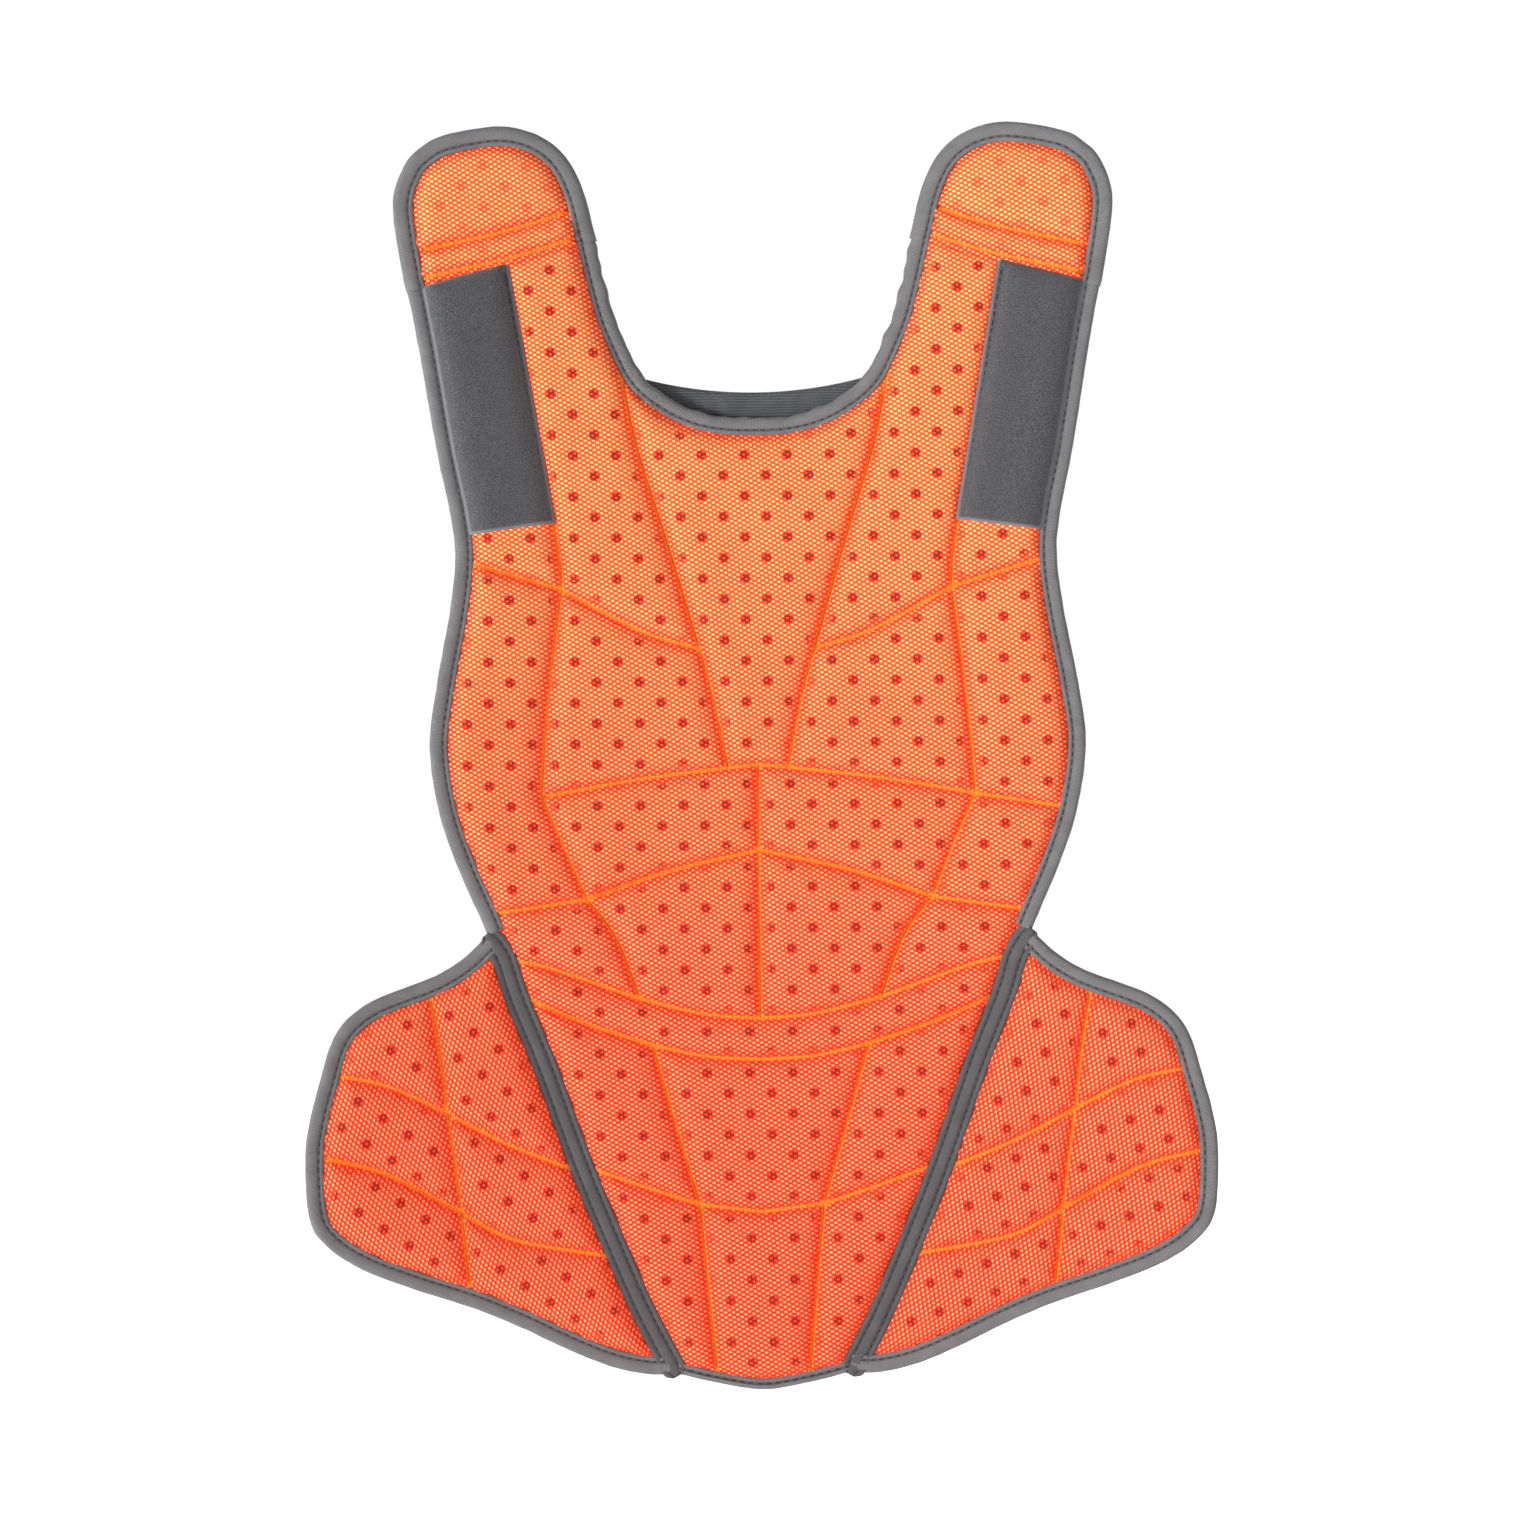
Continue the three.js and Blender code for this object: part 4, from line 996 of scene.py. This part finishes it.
def seam_threads(quilt, lift):
    """Thread along the sewn lines: orange on the lining, dark on the shell."""
    on_lining, on_shell = [], []
    for line in quilt.lines:
        raised = float(lift(line).mean())
        on_lining.append(stitch_row(line, QUILT_SINK - raised - 0.05, -1, radius=0.26))
        on_shell.append(stitch_row(line, SEWN_DEPTH + raised + 0.05, 1, pitch=4.2))
    front = stitch_piece(f"{quilt.name}_lining_thread", on_lining, ORANGE_THREAD)
    back = stitch_piece(f"{quilt.name}_outer_thread", on_shell, DARK_THREAD)
    return front, back


# ---- Whole panels ----
def make_panel(quilt, nodes, pad, attach, attach_pad, lift=no_lift):
    """A panel's lining, outer cloth, pads and seam threads. nodes are the CAD panels it stands for."""
    flat, triangles = quilt.mesh(LINING_CELLS)
    lining = lining_piece(quilt, flat, triangles, lift(flat))
    flat, triangles = quilt.mesh(SHELL_CELLS)
    shell = shell_piece(quilt, flat, triangles, pad, lift(flat))
    pads = pad_pieces(quilt, flat, triangles, pad, attach_pad)
    front, back = seam_threads(quilt, lift)
    for piece in (lining, shell, front, back):
        attach(piece)
    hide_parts(*[f"{node}_lining" for node in nodes])
    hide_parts(*[f"{node}_shell" for node in nodes])
    return lining, shell


def bind_edge(name, line, attach, seed, waves=0.15, proud=0.0, width=TAPE_WIDTH, node=None):
    """A stitched binding on an edge of the cloths. It stands for the CAD node of its name, or for node."""
    tape = tape_piece(f"{name}_tape", line, width, proud, waves, seed)
    sewn = tape_stitches(f"{name}_tape_thread", line, width, proud)
    attach(tape)
    attach(sewn)
    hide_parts(node or f"{name}_binding")


body_cloths = make_panel(body, ["chest", "belly"], CHEST_PAD, bend_at_waist, ride_body_pad)

UNDER_TIP = 3.0  # the strap's tapes run on under the tip's tape
neck_tape = past_start(past_end(neck, UNDER_TIP), UNDER_TIP)
side_tape = past_start(side_edge, UNDER_TIP)


def ride_chest(piece):
    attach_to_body(piece, "chest")


def ride_belly(piece):
    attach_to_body(piece, "belly")


bind_edge("neckline", neck_tape, ride_chest, seed=0, waves=1.0)
for seed, side in enumerate(SIDES, start=1):
    bind_edge(f"{SIDES[side]}_side", sided(side_tape, side), bend_at_waist, seed, waves=0.2)
bind_edge("hem", hem, ride_belly, seed=3, width=HEM_TAPE_WIDTH, node="belly_binding")

# ---- Wings, and the tapes over their hinges ----
HINGE_TAPE_HEAD = 0.6  # past the hinge's top
HINGE_TAPE_TAIL = 1.2  # past its low end
hinge_tape = past_start(past_end(hinge, HINGE_TAPE_TAIL), HINGE_TAPE_HEAD)


def hinge_strip(name, band, flip, side):
    """One of the two tapes over a wing's hinge, with two rows of stitches."""
    strip = strip_piece(f"{name}_tape", band, flip)
    depth, outward = (TAPE_BACK, 1) if flip else (TAPE_FRONT, -1)
    offset = inwards(directions(band)) * STRIP_STITCHES
    rows = [stitch_row((band + offset * way)[3:-3], depth, outward) for way in (-1, 1)]
    sewn = stitch_piece(f"{name}_thread", rows, DARK_THREAD)
    bend_at_wing(strip)
    bend_at_wing(sewn)
    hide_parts("belly_binding", f"{WINGS[side]}_binding")


def make_wing(side):
    """A wing with its pads, binding and hinge tapes."""
    quilt = wings[side]

    def ride_wing(piece, node=None):
        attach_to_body(piece, quilt.name)

    cloths = make_panel(quilt, [quilt.name], WING_PAD, ride_wing, ride_wing)
    bind_edge(quilt.name, sided(wing_round, side), ride_wing, seed=10 + side)
    band = sided(hinge_tape, side)
    for flip, word in ((False, "front"), (True, "back")):
        hinge_strip(f"{SIDES[side]}_hinge_{word}", band, flip, side)


# ---- Shoulder tips ----
TIP_TAPE_PROUD = 0.75  # the tip's tape lies over the strap's tapes


def make_tip(side):
    """A shoulder tip with its pad and binding."""
    quilt = tips[side]

    def bend_tip(piece):
        bend_at_fold(piece)

    def ride_tip(piece, node):
        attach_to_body(piece, TIPS[side])

    cloths = make_panel(quilt, [quilt.name], TIP_PAD, bend_tip, ride_tip, tip_lift)
    line = sided(tip_round, side)
    bind_edge(quilt.name, line, bend_tip, seed=20 + side, proud=TIP_TAPE_PROUD, waves=0.2)


for side in SIDES:
    make_wing(side)
for side in SIDES:
    make_tip(side)

# ---- Loop patches ----
PATCH_THICKNESS = 1.7
PATCH_TOP_GAP = 3.6  # below the fold
PATCH_LENGTH = 112
PATCH_INNER = [(108.3, 151.0), (88.2, 34.6)]  # its straight edge
PATCH_HEIGHTS = (26.8, 141)  # of its edge along the armhole's tape
PATCH_UNDER_TAPE = 1.2
PATCH_COLUMNS = 19
PATCH_STEP = 1.9


def patch_grid():
    """Rows of points from the right patch's inner edge to its outer edge, and their places on the tape."""
    inner = resample(np.array(PATCH_INNER), PATCH_STEP)
    outer = side_edge + inwards(directions(side_edge)) * (TAPE_WIDTH - PATCH_UNDER_TAPE)
    outer = outer[(outer[:, 1] < PATCH_HEIGHTS[1]) & (outer[:, 1] > PATCH_HEIGHTS[0])]
    outer = resample(outer, PATCH_STEP)
    down = np.linspace(0, 1, max(len(inner), len(outer)))
    edges = []
    for line in (inner, outer):
        at = np.linspace(0, 1, len(line))
        edges.append(np.column_stack([np.interp(down, at, line[:, k]) for k in (0, 1)]))
    across = np.linspace(0, 1, PATCH_COLUMNS)
    share = across[None, :, None]
    grid = (edges[0][:, None] * (1 - share) + edges[1][:, None] * share).reshape(-1, 2)
    too_high = np.minimum(0, -above_fold(grid) - PATCH_TOP_GAP)
    width = np.linalg.norm(edges[1] - edges[0], axis=1).repeat(PATCH_COLUMNS)
    u = np.tile(across, len(down)) * width
    v = np.repeat(down, PATCH_COLUMNS) * PATCH_LENGTH
    rim = np.minimum.reduce([u, width - u, v, PATCH_LENGTH - v])
    return grid + fold_up * too_high[:, None], np.column_stack([u, v, rim])


def grid_faces(count, columns):
    """Triangles between the rows of a grid of points."""
    faces = []
    for a in range(count - columns):
        if a % columns < columns - 1:
            faces += [(a, a + 1, a + columns), (a + 1, a + columns + 1, a + columns)]
    return np.array(faces)


def make_patch(side):
    """A loop patch on one strap, following the quilted lining loosely."""
    grid, marks = patch_grid()
    own = grid * (side, 1)
    cloth = body.lining(own)
    fuzz = ripple(own, 1.3, 0.16, 3) + ripple(own, 14, 0.3, 4)
    raised = PATCH_THICKNESS * smooth(marks[:, 2], -1.5, 2.2)
    front = np.minimum(cloth, 0.9) * 0.55 + cloth * 0.45 - raised + fuzz
    back = np.maximum(front + 0.8, cloth + 0.3)
    faces = grid_faces(len(grid), PATCH_COLUMNS)[:, ::side]
    points, solid = closed_layer(place(own, front), place(own, back), faces)
    attributes = [("grain", np.vstack([marks, marks]))]
    patch = make_object(f"{SIDES[side]}_loop_tape", points, solid, PILE, attributes)
    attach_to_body(patch, "chest")
    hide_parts(f"{SIDES[side]}_loop_patch")
    row = own.reshape(-1, PATCH_COLUMNS, 2)[3:-2, 1]
    depth = float(np.median(front.reshape(-1, PATCH_COLUMNS)[3:-2, 1]))
    sewn = stitch_piece(f"{SIDES[side]}_loop_thread", [stitch_row(row, depth, -1)], DARK_THREAD)
    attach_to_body(sewn, "chest")


for side in SIDES:
    make_patch(side)

# ---- Throat collar ----
COLLAR_RISE = 11.6  # above the neckline's lowest point, at the middle
COLLAR_FLARE = 6.2  # and this much more at its ends
COLLAR_FRONT = 7.7  # depth of its front
COLLAR_THICKNESS = 6.0
COLLAR_STRAIGHT = 0.97  # share of its height under the rounded top
COLLAR_STEP = 1.8


def collar_section(x, z, share):
    """Points (z, depth) once round the collar at x. share is x in half widths, z the neckline's height."""
    bottom = z - TAPE_WIDTH / 2
    height = max(NECK[0][1] + COLLAR_RISE + COLLAR_FLARE * share**2 - bottom, 1.2)
    round_end = math.sqrt(max(0.03, 1 - abs(share) ** 6))
    depth = COLLAR_THICKNESS * round_end * min(1, height / 8)
    middle = COLLAR_FRONT + depth * 0.5
    rise = np.linspace(0, 1, 60)
    rib = 0.16 * np.cos(2 * np.pi * rise * height / RIB_PITCH)
    crown = 1 - (2 * rise - 1) ** 8
    straight = height * COLLAR_STRAIGHT
    face = COLLAR_FRONT + depth * (0.32 * (1 - crown)) - rib + 0.2
    front = np.column_stack([bottom + rise * straight, face])
    turn = np.linspace(0, math.pi, 9)[1:-1]
    top = bottom + straight + np.sin(turn) * height * (1 - COLLAR_STRAIGHT)
    over = np.column_stack([top, middle - np.cos(turn) * depth * 0.34])
    fall = np.linspace(1, 0, 14)
    swell = 1 - (2 * fall - 1) ** 6
    back = np.column_stack([bottom + fall * straight, middle + depth * (0.18 + 0.32 * swell)])
    return np.vstack([front, over, back])


half_width = NECK[4][0]
rings, marks = [], []
for x, z in resample(neck[np.abs(neck[:, 0]) < half_width], COLLAR_STEP):
    section = collar_section(x, z, x / half_width)[::-1]
    flat = np.column_stack([np.full(len(section), x), section[:, 0]])
    rings.append(place(flat, section[:, 1]))
    marks.append(np.column_stack([flat, np.zeros(len(flat))]))
collar = loft("throat_collar_pad", rings, COLLAR, [("grain", np.vstack(marks))])
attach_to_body(collar, "chest")
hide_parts("throat_collar")

# ---- Camera, light and floor ----
FRAME_WIDTH = 0.6733  # metres across the image at the lining
SENSOR = 36
CAMERA_DISTANCE = 2.6
CAMERA_ROLL = 0.55  # degrees
AIM = Vector((0.0009, 0, -0.0709))

camera_data = bpy.data.cameras.new("camera")
camera_data.sensor_width = SENSOR
camera_data.lens = SENSOR * CAMERA_DISTANCE / FRAME_WIDTH
camera = bpy.data.objects.new("camera", camera_data)
bpy.context.scene.collection.objects.link(camera)
camera.rotation_mode = "XYZ"
camera.location = AIM - Vector((0, CAMERA_DISTANCE, 0))
camera.rotation_euler = (math.radians(90), math.radians(CAMERA_ROLL), 0)
bpy.context.scene.camera = camera


def area_light(name, place_at, size, power):
    """A square light aimed at the camera's aim, with its place and size in metres and its power in watts."""
    data = bpy.data.lights.new(name, "AREA")
    data.size = size
    data.energy = power
    light = bpy.data.objects.new(name, data)
    light.location = place_at
    light.rotation_mode = "QUATERNION"
    light.rotation_quaternion = (AIM - Vector(place_at)).to_track_quat("-Z", "Y")
    bpy.context.scene.collection.objects.link(light)


area_light("key", (-1.9, -1.5, -0.05), 0.5, 64)
area_light("fill", (0.8, -2.6, 0.9), 1.6, 9)
area_light("rim", (0.6, 1.9, 1.5), 1.4, 16)

world = bpy.data.worlds.new("studio")
bpy.context.scene.world = world
world.use_nodes = True
background = world.node_tree.nodes["Background"]
WORLD_LIGHT = 0.36
WORLD_SEEN = 1.0  # as the camera sees it
seen = world.node_tree.nodes.new("ShaderNodeLightPath").outputs["Is Camera Ray"]
brightness = world.node_tree.nodes.new("ShaderNodeMapRange")
for socket, value in zip(list(brightness.inputs)[1:5], (0.0, 1.0, WORLD_LIGHT, WORLD_SEEN)):
    socket.default_value = value
world.node_tree.links.new(seen, brightness.inputs[0])
background.inputs[0].default_value = (1, 1, 1, 1)
world.node_tree.links.new(brightness.outputs[0], background.inputs[1])
bpy.context.scene.view_settings.view_transform = "Standard"

FLOOR_DROP = 0.012
FLOOR_RADIUS = 9
FLOOR_CORNERS = 64
floor_z = cad_box[0].z - FLOOR_DROP
angles = np.linspace(0, 2 * math.pi, FLOOR_CORNERS + 1)[:-1]
floor_points = [(math.cos(a) * FLOOR_RADIUS, math.sin(a) * FLOOR_RADIUS, floor_z) for a in angles]
floor_look = Nodes("floor")
grain = floor_look.noise(floor_look.node("ShaderNodeTexCoord").outputs["Object"], 6.0, 4.0)
floor_colour = floor_look.mix(grain, (0.93, 0.93, 0.93, 1), (0.96, 0.96, 0.96, 1))
floor_look.finish(floor_colour, 0.9, floor_look.bump(grain, 0.001, 0.2))
floor_look.shader.inputs["Emission Color"].default_value = (1, 1, 1, 1)
floor_look.shader.inputs["Emission Strength"].default_value = 0.68
floor = make_object("floor", floor_points, [tuple(range(FLOOR_CORNERS))], floor_look.material)
